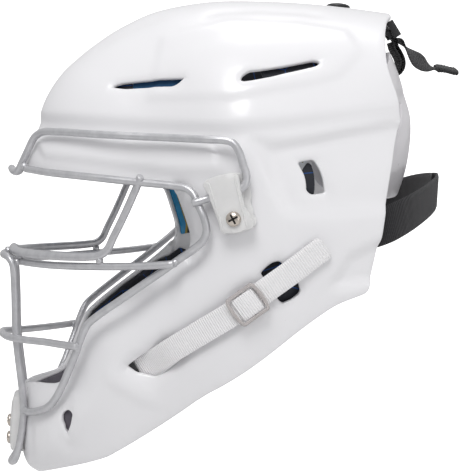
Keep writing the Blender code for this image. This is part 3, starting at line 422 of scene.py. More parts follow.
def shell_material(name, tint):
    m = material(name, tint, 0.30, Coat_Weight=0.25, Coat_Roughness=0.12)
    nt, nd, ln, b = nodes_of(m)
    vec = coords(nd, ln)
    big = noise(nd, ln, vec, 9.0, 2.0)
    d = tuple(v * 0.975 for v in tint)
    ln.new(ramp(nd, ln, big, [(0.35, d), (0.65, tint)]), b.inputs["Base Color"])
    fine = noise(nd, ln, vec, 420.0, 2.0)
    mid = noise(nd, ln, vec, 60.0, 3.0)
    ln.new(maths(nd, ln, "MULTIPLY_ADD", mid, 0.10, 0.25), b.inputs["Roughness"])
    bump(nd, ln, b, fine, 0.10, 0.0002)
    return m


def bar_material():
    m = material("cage_finish", (0.66, 0.66, 0.68), 0.36, 0.62, Coat_Weight=0.35, Coat_Roughness=0.22)
    nt, nd, ln, b = nodes_of(m)
    vec = coords(nd, ln)
    n = noise(nd, ln, vec, 160.0, 4.0, 0.6)
    ln.new(ramp(nd, ln, n, [(0.3, (0.50, 0.50, 0.52)), (0.7, (0.60, 0.60, 0.615))]), b.inputs["Base Color"])
    ln.new(maths(nd, ln, "MULTIPLY_ADD", n, 0.16, 0.27), b.inputs["Roughness"])
    bump(nd, ln, b, noise(nd, ln, vec, 900.0, 2.0), 0.12, 0.0002)
    return m


def clip_material(name, colour, rough, trans):
    m = material(name, colour, rough, 0.0, Transmission_Weight=trans, IOR=1.45)
    nt, nd, ln, b = nodes_of(m)
    vec = coords(nd, ln)
    n = noise(nd, ln, vec, 70.0, 3.0)
    d = tuple(v * 0.94 for v in colour)
    ln.new(ramp(nd, ln, n, [(0.35, d), (0.65, colour)]), b.inputs["Base Color"])
    bump(nd, ln, b, noise(nd, ln, vec, 300.0, 2.0), 0.15, 0.0003)
    return m


def metal_material(name, colour, rough):
    m = material(name, colour, rough, 1.0)
    nt, nd, ln, b = nodes_of(m)
    vec = coords(nd, ln)
    n = noise(nd, ln, vec, 500.0, 3.0)
    ln.new(maths(nd, ln, "MULTIPLY_ADD", n, 0.15, rough - 0.05), b.inputs["Roughness"])
    bump(nd, ln, b, noise(nd, ln, vec, 1500.0, 2.0), 0.1, 0.0001)
    return m


def weave_bump(nd, ln, b, vec, per_mm, strength, dist):
    """Fine knit relief from two crossed waves."""
    s = per_mm * 1000.0 / (2 * math.pi) * math.pi / 10.0
    w1 = wave(nd, ln, vec, s, "X", 1.0)
    w2 = wave(nd, ln, vec, s, "Z", 1.0)
    both_w = maths(nd, ln, "MULTIPLY", w1, w2)
    grain = noise(nd, ln, vec, 2500.0, 2.0)
    h = maths(nd, ln, "MULTIPLY_ADD", grain, 0.4, both_w)
    bump(nd, ln, b, h, strength, dist)
    return both_w


def pad_material(name, bands):
    """Bands of colour through the pad's depth, from the shell side to the head
    side, with a knit surface; the dark face carries a fine net of blue lines."""
    m = material(name, (0.0, 0.2, 0.5), 0.75, 0.0, Sheen_Weight=0.25, Sheen_Roughness=0.5)
    nt, nd, ln, b = nodes_of(m)
    at = nd.new("ShaderNodeAttribute")
    at.attribute_name = "depth"
    vec = coords(nd, ln)
    col = ramp(nd, ln, at.outputs["Fac"], bands, "CONSTANT")
    vor = nd.new("ShaderNodeTexVoronoi")
    vor.feature = "DISTANCE_TO_EDGE"
    vor.inputs["Scale"].default_value = 55.0
    ln.new(vec, vor.inputs["Vector"])
    line = maths(nd, ln, "LESS_THAN", vor.outputs["Distance"], 0.016)
    face = maths(nd, ln, "GREATER_THAN", at.outputs["Fac"], bands[-1][0])
    both_m = maths(nd, ln, "MULTIPLY", line, face)
    mix = nd.new("ShaderNodeMix")
    mix.data_type = "RGBA"
    ln.new(both_m, mix.inputs[0])
    ln.new(col, mix.inputs[6])
    mix.inputs[7].default_value = (0.0, 0.06, 0.26, 1)
    n = noise(nd, ln, vec, 40.0, 3.0)
    shade = nd.new("ShaderNodeMix")
    shade.data_type = "RGBA"
    shade.blend_type = "MULTIPLY"
    shade.inputs[0].default_value = 1.0
    ln.new(mix.outputs[2], shade.inputs[6])
    ln.new(ramp(nd, ln, n, [(0.3, (0.86, 0.86, 0.86)), (0.7, (1.0, 1.0, 1.0))]), shade.inputs[7])
    ln.new(shade.outputs[2], b.inputs["Base Color"])
    weave_bump(nd, ln, b, vec, 1.1, 0.5, 0.0003)
    return m


def strap_material(name, light, dark, ribs_per_m, rough=0.7, sheen=0.3, strength=0.5):
    """Ribbed elastic or webbing; U runs along it in metres, V across it."""
    m = material(name, light, rough, 0.0, Sheen_Weight=sheen, Sheen_Roughness=0.4)
    nt, nd, ln, b = nodes_of(m)
    uv = coords(nd, ln, "UV")
    sep = nd.new("ShaderNodeSeparateXYZ")
    ln.new(uv, sep.inputs[0])
    rib = maths(nd, ln, "SINE", maths(nd, ln, "MULTIPLY", sep.outputs[0], ribs_per_m * 2 * math.pi))
    cross = maths(nd, ln, "SINE", maths(nd, ln, "MULTIPLY", sep.outputs[1], 1250.0 * 2 * math.pi))
    h = maths(nd, ln, "MULTIPLY_ADD", cross, 0.35, rib)
    f = maths(nd, ln, "MULTIPLY_ADD", h, 0.35, 0.5)
    obj = coords(nd, ln)
    n = noise(nd, ln, obj, 700.0, 3.0)
    f2 = maths(nd, ln, "MULTIPLY_ADD", n, 0.35, maths(nd, ln, "MULTIPLY", f, 0.8))
    # colour follows the rib and weave height, darker in the grooves: painted shade between the ribs; the noise adds
    # random tone
    ln.new(ramp(nd, ln, f2, [(0.15, dark), (0.75, light)]), b.inputs["Base Color"])
    h2 = maths(nd, ln, "MULTIPLY_ADD", n, 0.5, h)
    bump(nd, ln, b, h2, strength, 0.0004)
    return m


M_SHELL = shell_material("shell_pearl", (0.80, 0.795, 0.81))
M_PLATE = shell_material("plate_pearl", (0.74, 0.725, 0.745))
M_BAR = bar_material()
M_CLIP = clip_material("clip_smoky", (0.92, 0.915, 0.91), 0.30, 0.28)
M_CLEAR = clip_material("buckle_clear", (0.66, 0.62, 0.61), 0.18, 0.40)
M_SCREW = metal_material("nickel", (0.62, 0.56, 0.50), 0.22)
M_WHITE = strap_material("elastic_white", (0.90, 0.89, 0.90), (0.78, 0.77, 0.78), 640.0)
M_BLACK = strap_material("elastic_black", (0.016, 0.015, 0.018), (0.004, 0.004, 0.005), 700.0, 0.8, 0.15)
M_WEB = strap_material("webbing_black", (0.013, 0.013, 0.015), (0.003, 0.003, 0.004), 520.0, 0.6, 0.1, 0.8)
# black nylon for the trim parts; the same black also lies on the floor of the screw recesses as painted shade
M_BLACK_NYLON_AND_RECESS_SHADE = material("nylon_black_and_recess_shade", (0.012, 0.012, 0.013), 0.42)
nt, nd, ln, b_ = nodes_of(M_BLACK_NYLON_AND_RECESS_SHADE)
bump(nd, ln, b_, noise(nd, ln, coords(nd, ln), 500.0, 3.0), 0.25, 0.0003)
ln.new(maths(nd, ln, "MULTIPLY_ADD", noise(nd, ln, coords(nd, ln), 90.0), 0.2, 0.32), b_.inputs["Roughness"])
BLUE, OLIVE, DARK = (0.0, 0.27, 0.55), (0.34, 0.25, 0.035), (0.010, 0.012, 0.020)
M_PAD = pad_material("pad_blue_knit", [(0.0, BLUE), (0.60, OLIVE), (0.74, DARK)])
# the occipital pad's shell-side band is grey-violet painted shade, the tone of its shaded face seen through the plate
# vent; the olive and dark bands are the foam's layers
M_BACK_PAD_SHADED = pad_material("back_pad_knit_shaded", [(0.0, (0.30, 0.28, 0.32)), (0.62, OLIVE), (0.76, DARK)])
M_DARKPAD = pad_material("pad_dark_knit", [(0.0, (0.012, 0.014, 0.022)), (0.30, DARK)])

# a darker copy of the blue foam, near black in its second band: painted shade for the pad seen in shade through the
# front vent
M_VENT_FOAM_SHADE = pad_material("vent_foam_painted_shade", [(0.0, (0.0, 0.062, 0.165)), (0.9, (0.006, 0.006, 0.010))])
# dark grey-violet cloth-like sheet: painted shade for the inside of the chin
M_CHIN_SHADE = material("chin_shade_sheet", (0.085, 0.075, 0.095), 0.85, Sheen_Weight=0.4, Sheen_Roughness=0.5)
nt, nd, ln, b_ = nodes_of(M_CHIN_SHADE)
ln.new(ramp(nd, ln, noise(nd, ln, coords(nd, ln), 35.0), [(0.3, (0.070, 0.062, 0.080)), (0.7, (0.105, 0.095, 0.118))]),
       b_.inputs["Base Color"])
weave_bump(nd, ln, b_, coords(nd, ln), 1.1, 0.5, 0.0003)

# ------------------------------------------------------------------ mesh helpers
def merge(parts):
    vs, fs, n = [], [], 0
    for v, f in parts:
        vs.append(np.asarray(v, float))
        fs += [[i + n for i in face] for face in f]
        n += len(v)
    return np.vstack(vs), fs


def mirror_y(vf):
    v, f = vf
    v = np.array(v, float)
    v[:, 1] *= -1
    return v, [list(reversed(face)) for face in f]



def piece(name, verts, faces, mat, body, slot=None, replaces=(), angle=40.0, uv=None):
    me = bpy.data.meshes.new(name)
    me.from_pydata([tuple(p) for p in place(verts)], [], [tuple(int(i) for i in f) for f in faces])
    bm = bmesh.new()
    bm.from_mesh(me)
    bmesh.ops.recalc_face_normals(bm, faces=bm.faces)
    bm.to_mesh(me)
    bm.free()
    me.update()
    ob = bpy.data.objects.new(name, me)
    bpy.context.scene.collection.objects.link(ob)
    me.materials.append(mat)
    if uv is not None:
        lay = me.uv_layers.new(name="along")
        vi = np.empty(len(me.loops), int)
        me.loops.foreach_get("vertex_index", vi)
        lay.data.foreach_set("uv", np.asarray(uv, np.float32)[vi].ravel())
    me.shade_smooth()
    me.set_sharp_from_angle(angle=math.radians(angle))
    if body:
        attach(ob, body)
    if replaces:
        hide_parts(*replaces)
    return ob


def triangulate(loops, pitch):
    """Triangles of the area inside loops[0] and outside the others, in the unit
    domain; grid points fill the middle."""
    outer, holes = np.asarray(loops[0]), [np.asarray(h) for h in loops[1:]]
    lo, hi = outer.min(0), outer.max(0)
    pts = []
    j = 0
    z = lo[1]
    while z < hi[1]:
        x = lo[0] + (pitch / 2 if j % 2 else 0)
        while x < hi[0]:
            pts.append((x, z))
            x += pitch
        z += pitch * 0.866
        j += 1
    pts = np.array(pts)
    ok = inside(pts, outer)
    for h in holes:
        ok &= ~inside(pts, h)
    pts = pts[ok]
    for lp in [outer] + holes:
        d, _, _ = seg_dist(pts, np.vstack([lp, lp[:1]]))
        pts = pts[d > 0.55 * pitch]
    verts, edges = [], []
    for lp in [outer] + holes:
        n0 = len(verts)
        verts += [tuple(q) for q in lp]
        edges += [(n0 + i, n0 + (i + 1) % len(lp)) for i in range(len(lp))]
    nb = len(verts)
    verts += [tuple(q) for q in pts]
    r = geometry.delaunay_2d_cdt([Vector(v) for v in verts], edges, [], 0, 1e-7)
    v2 = np.array([[v[0], v[1]] for v in r[0]])
    tri = np.array([f for f in r[2]])
    cen = v2[tri].mean(1)
    ok = inside(cen, outer)
    for h in holes:
        ok &= ~inside(cen, h)
    return v2, tri[ok]


def chaikin(points, rounds=2, closed=False):
    """Round the corners of a run of points; an open run keeps its ends."""
    p = np.asarray(points, float)
    for _ in range(rounds):
        if closed:
            q = np.roll(p, -1, 0)
            p = np.stack([0.75 * p + 0.25 * q, 0.25 * p + 0.75 * q], 1).reshape(-1, 2)
        else:
            a, b = p[:-1], p[1:]
            m = np.stack([0.75 * a + 0.25 * b, 0.25 * a + 0.75 * b], 1).reshape(-1, 2)
            p = np.vstack([p[:1], m[1:-1], p[-1:]])
    return p


def fillet(points, r, n=4):
    """Round every corner of a closed polygon with an arc of about radius r."""
    p = np.asarray(points, float)
    out = []
    for i in range(len(p)):
        a, b, c = p[i - 1], p[i], p[(i + 1) % len(p)]
        u, v = a - b, c - b
        lu, lv = np.linalg.norm(u), np.linalg.norm(v)
        u, v = u / lu, v / lv
        t = min(r, 0.45 * lu, 0.45 * lv)
        for k in range(n + 1):
            w = k / n
            out.append(b + u * t * (1 - w) ** 2 + v * t * w ** 2)
    return np.array(out)


def wall(dome, loops_xz, pitch, midline=False, step=2.0, surf=None, offs=(0.0, -SHELL_T), lip=1.0,
         rows=5):
    """A closed wall over an area of the dome with rounded rims.  Returns
    vertices, faces and each vertex's place through the wall (0 outer, 1 inner)."""
    def plain(uv, off):
        p = dome.point(uv)
        return p + dome.normal(p) * off[:, None], None

    surf = surf or plain
    loops = []
    for lp in loops_xz:
        lp = np.asarray(lp, float)
        uv = dome.uv(np.vstack([lp, lp[:1]]))
        xyz = dome.point(uv)
        out = []
        for i in range(len(lp)):
            n = max(1, int(round(np.linalg.norm(xyz[i + 1] - xyz[i]) / step)))
            a, b = uv[i], uv[i + 1]
            for k in range(n):
                q = a + (b - a) * k / n
                if np.hypot(*a) > 1.5705 and np.hypot(*b) > 1.5705:
                    q = q / np.hypot(*q) * (np.pi / 2)
                out.append(q)
        out = np.array(out)
        keep = [0]
        for i in range(1, len(out)):
            if np.linalg.norm(out[i] - out[keep[-1]]) > 1e-4:
                keep.append(i)
        loops.append(out[keep])
    v2, tri = triangulate(loops, pitch / 105.0)
    top, _ = surf(v2, np.full(len(v2), offs[0]))
    bot, _ = surf(v2, np.full(len(v2), offs[1]))
    if midline:
        mid = np.hypot(v2[:, 0], v2[:, 1]) > np.pi / 2 - 1e-5
        top[mid, 1] = 0
        bot[mid, 1] = 0
        n = len(v2)
        other = np.where(~mid)[0]
        remap = np.arange(n)
        remap[other] = n + np.arange(len(other))
        flip = np.array([1, -1, 1.0])
        top = np.vstack([top, top[other] * flip])
        bot = np.vstack([bot, bot[other] * flip])
        tri = np.vstack([tri, remap[tri][:, ::-1]])
    n = len(top)
    nxt = {}
    owner = {}
    seen = {}
    for t in tri:
        for a, b, c in ((t[0], t[1], t[2]), (t[1], t[2], t[0]), (t[2], t[0], t[1])):
            k = (min(a, b), max(a, b))
            seen[k] = seen.get(k, 0) + 1
            owner[k] = (a, b, c)
    edges = [owner[k] for k, m in seen.items() if m == 1]
    out_dir = {}
    for a, b, c in edges:
        e = top[b] - top[a]
        inward = top[c] - top[a]
        o = -(inward - e * (inward @ e) / max(e @ e, 1e-12))
        o /= max(np.linalg.norm(o), 1e-9)
        for v in (a, b):
            out_dir[v] = out_dir.get(v, np.zeros(3)) + o
    verts = [top, bot]
    base = 2 * n
    row_of = {}
    extra = []
    depth_extra = []
    for v, o in out_dir.items():
        o = o / max(np.linalg.norm(o), 1e-9)
        th = bot[v] - top[v]
        row_of[v] = []
        for k in range(1, rows + 1):
            ang = math.pi * k / (rows + 1)
            t = 0.5 - 0.5 * math.cos(ang)
            bulge = lip * min(1.0, math.sin(ang) * 1.35)
            q = top[v] + th * t + o * bulge
            if abs(top[v][1]) < 1e-9:
                q[1] = 0.0
            row_of[v].append(base + len(extra))
            extra.append(q)
            depth_extra.append(t)
    faces = [list(t) for t in tri] + [[i + n for i in t[::-1]] for t in tri.tolist()]
    for a, b, c in edges:
        ra = [a] + row_of[a] + [a + n]
        rb = [b] + row_of[b] + [b + n]
        for k in range(len(ra) - 1):
            faces.append([rb[k], ra[k], ra[k + 1], rb[k + 1]])
    depth = np.r_[np.zeros(n), np.ones(n), np.array(depth_extra)]
    return np.vstack([top, bot, np.array(extra)]), faces, depth


def frames(path, up=None):
    """Tangents and two cross directions along a path, without twist."""
    p = np.asarray(path, float)
    t = np.gradient(p, axis=0)
    t /= np.linalg.norm(t, axis=1)[:, None]
    a = np.array([0, 0, 1.0]) if up is None else np.asarray(up, float)
    if abs(a @ t[0]) > 0.9:
        a = np.array([0, 1.0, 0])
    n = a - (a @ t[0]) * t[0]
    n /= np.linalg.norm(n)
    ns = [n]
    for i in range(1, len(p)):
        n = ns[-1] - (ns[-1] @ t[i]) * t[i]
        ns.append(n / np.linalg.norm(n))
    ns = np.array(ns)
    return t, ns, np.cross(t, ns)


def tube(path, r, sides=18, scale=None, closed=False, cap=0.5):
    """A smooth bar along a path, with softly rounded ends."""
    p = np.asarray(path, float)
    n = len(p)
    if closed:
        t = np.roll(p, -1, 0) - np.roll(p, 1, 0)
        t /= np.linalg.norm(t, axis=1)[:, None]
        na = np.cross(t, [1.0, 0, 0.05])
        na /= np.linalg.norm(na, axis=1)[:, None]
        nb = np.cross(t, na)
    else:
        t, na, nb = frames(p)
    rings = [(p[i], na[i], nb[i], 1.0 if scale is None else scale[i]) for i in range(n)]
    if not closed:
        first = [(p[0] - t[0] * cap * s, na[0], nb[0], k) for s, k in ((1.0, 0.55), (0.75, 0.8), (0.35, 0.95))]
        last = [(p[-1] + t[-1] * cap * s, na[-1], nb[-1], k) for s, k in ((0.35, 0.95), (0.75, 0.8), (1.0, 0.55))]
        rings = first + rings + last
    vs = []
    for c, u, w, k in rings:
        ku, kw = (k, k) if np.isscalar(k) else k
        for j in range(sides):
            a = 2 * math.pi * j / sides
            vs.append(c + u * (r * ku * math.cos(a)) + w * (r * kw * math.sin(a)))
    m = len(rings)
    fs = []
    for i in range(m if closed else m - 1):
        i2 = (i + 1) % m
        for j in range(sides):
            j2 = (j + 1) % sides
            fs.append([i * sides + j, i * sides + j2, i2 * sides + j2, i2 * sides + j])
    if not closed:
        fs.append(list(range(sides))[::-1])
        fs.append([(m - 1) * sides + j for j in range(sides)])
    return np.array(vs), fs


def band(path, across, width, thick, cols=14, edge=0.5, ribs=None, crown=0.0, round_ends=0.0):
    """A strap with rounded edges.  Returns vertices, faces and UVs in metres.
    ribs is (period, height) of real cross ribs; crown lifts the middle."""
    p = np.asarray(path, float)
    n = len(p)
    t = np.gradient(p, axis=0)
    t /= np.linalg.norm(t, axis=1)[:, None]
    w = np.asarray(across, float)
    w = w - (w * t).sum(1)[:, None] * t
    w /= np.linalg.norm(w, axis=1)[:, None]
    nn = np.cross(t, w)
    s = np.r_[0, np.cumsum(np.linalg.norm(np.diff(p, axis=0), axis=1))]
    prof = []
    for k in range(cols + 1):
        a = -1 + 2 * k / cols
        h = 0.5 * min(1.0, 0.35 + (1 - abs(a)) * cols / 2 * 0.4)
        prof.append((a, h))
    ring = [(a, h) for a, h in prof] + [(a, -h) for a, h in prof[::-1]]
    vs, uv = [], []
    for i in range(n):
        rib = 1.0
        if ribs:
            rib = 1.0 + ribs[1] / thick * math.cos(2 * math.pi * s[i] / ribs[0])
        wid = width
        if round_ends:
            for e in (s[i], s[-1] - s[i]):
                if e < round_ends:
                    wid = min(wid, width - 2 * round_ends
                              + 2 * math.sqrt(max(round_ends ** 2 - (round_ends - e) ** 2, 0)))
        for a, h in ring:
            lift = crown * (1 - a * a)
            vs.append(p[i] + w[i] * (a * wid / 2) + nn[i] * (h * thick * rib + lift))
            uv.append((s[i] / 1000.0, a * width / 2000.0))
    m = len(ring)
    fs = []
    for i in range(n - 1):
        for k in range(m):
            k2 = (k + 1) % m
            fs.append([i * m + k, i * m + k2, (i + 1) * m + k2, (i + 1) * m + k])
    for base, rev in ((0, False), ((n - 1) * m, True)):
        c = cols + 1
        for k in range(cols):
            q = [base + k, base + k + 1, base + m - 2 - k, base + m - 1 - k]
            fs.append(q[::-1] if rev else q)
    return np.array(vs), fs, np.array(uv)


def turned(profile, centre, axis, sides=16):
    """A closed solid of revolution: profile of (radius, height) pairs along axis."""
    ax = np.asarray(axis, float)
    ax = ax / np.linalg.norm(ax)
    u = np.cross(ax, [0, 0, 1.0]) if abs(ax[2]) < 0.9 else np.cross(ax, [1.0, 0, 0])
    u /= np.linalg.norm(u)
    w = np.cross(ax, u)
    vs, fs, rows = [], [], []
    for r, h in profile:
        if r < 1e-6:
            rows.append([len(vs)])
            vs.append(np.asarray(centre) + ax * h)
        else:
            rows.append(list(range(len(vs), len(vs) + sides)))
            for k in range(sides):
                a = 2 * math.pi * k / sides
                vs.append(np.asarray(centre) + ax * h + (u * math.cos(a) + w * math.sin(a)) * r)
    closed = profile[0][0] > 1e-6
    pairs = list(zip(rows[:-1], rows[1:]))
    if closed:
        pairs.append((rows[-1], rows[0]))
    for a, b in pairs:
        for k in range(sides):
            k2 = (k + 1) % sides
            if len(a) == 1:
                fs.append([a[0], b[k], b[k2]])
            elif len(b) == 1:
                fs.append([a[k], b[0], a[k2]])
            else:
                fs.append([a[k], b[k], b[k2], a[k2]])
    return np.array(vs), fs


def box(centre, x, y, size):
    """A block with half sizes size along x, y and their cross product."""
    x = np.asarray(x, float) / np.linalg.norm(x)
    y = np.asarray(y, float) - (np.asarray(y, float) @ x) * x
    y /= np.linalg.norm(y)
    z = np.cross(x, y)
    vs = []
    for a in (-1, 1):
        for b in (-1, 1):
            for c in (-1, 1):
                vs.append(np.asarray(centre) + x * a * size[0] + y * b * size[1] + z * c * size[2])
    fs = [[0, 1, 3, 2], [4, 6, 7, 5], [0, 4, 5, 1], [2, 3, 7, 6], [0, 2, 6, 4], [1, 5, 7, 3]]
    return np.array(vs), fs



def rounded(ob, width, segments=3, angle=35):
    m = ob.modifiers.new("round", "BEVEL")
    m.width = width * 0.001
    m.segments = segments
    m.limit_method = "ANGLE"
    m.angle_limit = math.radians(angle)
    m.harden_normals = False
    return m


def bake(ob):
    """Apply an object's modifiers to its mesh."""
    dg = bpy.context.evaluated_depsgraph_get()
    me = bpy.data.meshes.new_from_object(ob.evaluated_get(dg))
    ob.modifiers.clear()
    old = ob.data
    ob.data = me
    bpy.data.meshes.remove(old)
    return ob


def boolean(ob, vf, op="DIFFERENCE"):
    """Boolean with a throwaway shape, applied."""
    c = piece("tool_shape", *vf, M_BLACK_NYLON_AND_RECESS_SHADE, None)
    m = ob.modifiers.new("b", "BOOLEAN")
    m.operation = op
    m.solver = "EXACT"
    m.object = c
    bpy.context.view_layer.update()
    bake(ob)
    bpy.data.objects.remove(c, do_unlink=True)
    return ob


def smooth_shade(ob, angle=40.0):
    ob.data.shade_smooth()
    ob.data.set_sharp_from_angle(angle=math.radians(angle))
    return ob


def dome_depth(dome, pts):
    """Depth of points below the dome's surface, in millimetres."""
    q = np.array(pts, float)
    q[:, 1] = -np.maximum(np.abs(q[:, 1]), 1e-5)
    n = dome.normal(q)
    g0, g1 = (dome._g(*(q + n * h).T) for h in (-0.5, 0.5))
    g = dome._g(*q.T)
    return -(g ** (1 / dome.n) - 1) / np.maximum(g1 ** (1 / dome.n) - g0 ** (1 / dome.n), 1e-6)


# ------------------------------------------------------------------ front shell
REAR_EDGE = [(107, 152), (104, 150.5), (100.5, 147), (96, 138), (94, 128), (93, 119), (93.5, 112),
             (95.5, 103), (98, 94), (99.5, 85), (100.5, 79), (99.5, 75), (96.5, 62), (92.5, 41),
             (89.5, 25), (86.5, 4), (84, -3), (80, -22), (78.5, -31)]
BOTTOM_EDGE = [(61, -37), (53, -41), (-28, -99), (-87, -143), (-102, -148.5), (-119, -154),
               (-129, -158)]


def outline_run(dome, th0, th1, n):
    """Side-view points on the outline of the dome, between two directions."""
    return [(dome.px + dome.radius(t) * math.cos(t), dome.pz + dome.radius(t) * math.sin(t))
            for t in np.linspace(th0, th1, n)]


def angle_of(dome, x, z):
    return math.atan2(z - dome.pz, x - dome.px)


def outline_run(dome, th0, th1, n):
    """Side-view points on the outline of the dome, between two directions."""
    return [(dome.px + dome.radius(t) * math.cos(t), dome.pz + dome.radius(t) * math.sin(t))
            for t in np.linspace(th0, th1, n)]


def angle_of(dome, x, z):
    return math.atan2(z - dome.pz, x - dome.px)


FRONT_VENT = [(-85, 101), (-82, 104), (-76, 105.5), (-38, 107), (-37, 106), (-41, 102), (-45, 100),
              (-76, 99.5)]
REAR_VENT = [(-4, 103.5), (-3, 107.5), (2, 111), (45, 118.5), (49, 117.5), (50, 115.5), (47, 113),
             (30, 109), (-1, 102.5)]
EAR_WINDOW = [(32, 52), (33, 54), (42, 55.5), (45, 53.5), (51, 33), (49, 31.5), (41, 30.5), (37.5, 33)]
OVAL_VENT = [(7, -18), (11, -13.5), (16, -10), (21, -9.5), (33, -23), (35, -29), (34, -32),
             (29, -36), (23, -38.5), (20, -37)]
STRAP_SLOT = [(-76, -81.5), (-70, -76), (-50, -60.5), (-38, -70.5), (-42, -77), (-54, -87.5),
              (-58, -89.5), (-70, -86.5)]
CHIN_VENT = [(-119, -115), (-117, -112), (-113, -110.5), (-110, -114), (-111, -122), (-114, -131),
             (-119, -121)]

VENT_LOOPS = [fillet(v, 2.2, 3) for v in
              (FRONT_VENT, REAR_VENT, EAR_WINDOW, OVAL_VENT, STRAP_SLOT, CHIN_VENT)]
PITCH = 2.3
STEP = 1.7
crown = outline_run(SHELL, angle_of(SHELL, -143.5, 48.5), angle_of(SHELL, 108, 155.9), 60)
chin_top = angle_of(SHELL, -143.5, -100)
chin_low = angle_of(SHELL, -136, -161.5)
chin = outline_run(SHELL, chin_low + 2 * math.pi if chin_low < 0 else chin_low,
                   chin_top + 2 * math.pi if chin_top < 0 else chin_top, 20)
rear = fillet([crown[-1]] + REAR_EDGE + BOTTOM_EDGE + [chin[0]], 5.0, 4)[5:-5]
face = chaikin([chin[-1]] + FACE_EDGE + [crown[0]], 2)[1:-1]
loop = list(map(tuple, crown)) + list(map(tuple, rear)) + chin + list(map(tuple, face))
v, f, depth = wall(SHELL, [loop] + [list(map(tuple, q)) for q in VENT_LOOPS], PITCH, midline=True,
                   step=STEP, surf=fine_shell, lip=1.0)
shell = piece("helmet_shell", v, f, M_SHELL, "shell", "shell_plastic", ("front_shell",), angle=60)
# a thin dark sheet inside the chin: painted shade on the shell's inner face there, which lies in shade
CHIN_SHADE_OUTLINE = [(-141, -103.5), (-129, -101), (-118, -98), (-113, -90), (-108.5, -77), (-104, -74), (-100, -84),
          (-97, -104), (-100, -124), (-112, -146), (-128, -151), (-139, -149)]


def lining_surface(uv, off):
    q, n = fine_shell(uv, off)
    return q, n


lv_, lf_, ld_ = wall(SHELL, [list(map(tuple, fillet(CHIN_SHADE_OUTLINE, 3.0)))], 4.0, midline=False, step=3.0,
                     surf=lining_surface, offs=(-SHELL_T - 0.25, -SHELL_T - 1.15), lip=0.3, rows=3)
for side_, fl_ in (("left", lambda q: q), ("right", mirror_y)):
    piece(f"{side_}_chin_shade_sheet", *fl_((lv_, lf_)), M_CHIN_SHADE, "shell", "pad_dark", angle=60)

# the padding's face beside the flange of the face opening
CHEEK_LINER = [(-97.2, -57), (-74.6, -39.4), (-52.6, -24), (-46, -20.5), (-39.5, -18.5), (-31, -13), (-26, -15), (-34, -25), (-45.5, -33.5), (-67, -49), (-89, -66), (-96, -84), (-103.5, -80),
               (-104.8, -71.2), (-101.5, -64)]
TEMPLE_LINER = [(-30.6, -2.0), (-31.3, 4), (-35.8, 18.5), (-40.8, 33.5), (-28, 37), (-22.5, 22),
                (-18, 5), (-18.5, -2.0)]
for part_, poly_, mat_, slot_ in (("cheek", CHEEK_LINER, M_DARKPAD, "pad_dark"),
                                  ("temple", TEMPLE_LINER, M_PAD, "pad_blue")):
    lv_, lf_, ld_ = wall(SHELL, [list(map(tuple, fillet(poly_, 1.5)))], 3.5, midline=False, step=2.5,
                         surf=lining_surface, offs=(-SHELL_T - 0.3, -SHELL_T - 2.0), lip=0.4, rows=3)
    dd_, _, _ = seg_dist(lv_[:, [0, 2]], TEMPLE_EDGE if part_ == "temple" else CHEEK_EDGE)
    for side_, fl_ in (("left", lambda q: q), ("right", mirror_y)):
        ob = piece(f"{side_}_{part_}_liner", *fl_((lv_, lf_)), mat_, "shell", slot_, angle=60)
        at = ob.data.attributes.new("depth", "FLOAT", "POINT")
        at.data.foreach_set("value", np.clip((dd_ - 1.0) / 13.0, 0.0, 1.0).astype(np.float32))

# pad faces seen through the openings of the shell; the front vent's face takes the darker copy of the blue foam,
# painted shade
VENT_FACES = [("front_vent_face", [(-70, 90), (-32, 94), (-30, 108), (-44, 113), (-72, 110)], M_VENT_FOAM_SHADE, "pad_blue", 0.1),
              ("front_vent_end", [(-95, 88), (-72, 89), (-73, 111), (-92, 108)], M_DARKPAD, "pad_dark", 1.0),
              ("rear_vent_face", [(16, 98), (50, 101), (60, 110), (58, 124), (36, 128), (8, 124)], M_DARKPAD,
               "pad_dark", 1.0),
              ("slot_face", [(2, -4), (14, 4), (30, -2), (46, -26), (44, -42), (26, -48), (12, -38), (2, -18)],
               M_DARKPAD, "pad_dark", 1.0),
              ("ear_face", [(26, 22), (43, 26), (42.5, 51), (40, 53), (33, 42), (27, 32)], M_DARKPAD, "pad_dark", 1.0)]
for part_, poly_, mat_, slot_, dep_ in VENT_FACES:
    lv_, lf_, ld_ = wall(SHELL, [list(map(tuple, fillet(poly_, 2.0)))], 4.0, midline=False, step=3.0,
                         surf=lining_surface, offs=(-SHELL_T - 2.2, -SHELL_T - 3.8), lip=0.4, rows=3)
    for side_, fl_ in (("left", lambda q: q), ("right", mirror_y)):
        ob = piece(f"{side_}_{part_}", *fl_((lv_, lf_)), mat_, "shell", slot_, angle=60)
        at = ob.data.attributes.new("depth", "FLOAT", "POINT")
        at.data.foreach_set("value", np.full(len(lv_), dep_, np.float32))

# ------------------------------------------------------------------ cage
def both(points):
    """Mirror an open run that starts on the middle plane to the other side."""
    p = np.asarray(points, float)
    return np.vstack([(p * [1, -1, 1])[::-1][:-1], p]) if abs(p[0, 1]) < 1e-6 else p


def stand_off(path, need, lowest=-1e9):
    """Push the points of a path that are nearer than need to the shell outwards."""
    p = np.array(path, float)
    for _ in range(3):
        q = p * np.where(p[:, 1:2] > 0, [[1, -1, 1]], [[1, 1, 1]])
        n = SHELL.normal(q + [0, -1e-6, 0])
        g0, g1 = (SHELL._g(*(q + n * h).T) for h in (0.0, 0.5))
        d = (g0 - 1) / np.maximum((g1 - g0) / 0.5, 1e-6) - relief(q[:, [0, 2]])
        on = (d < need) & (d > -8) & (p[:, 2] > lowest)
        move = n * np.where(on, need - d, 0)[:, None]
        move[:, 1] *= np.where(p[:, 1] > 0, -1, 1)
        p = p + move
    return p


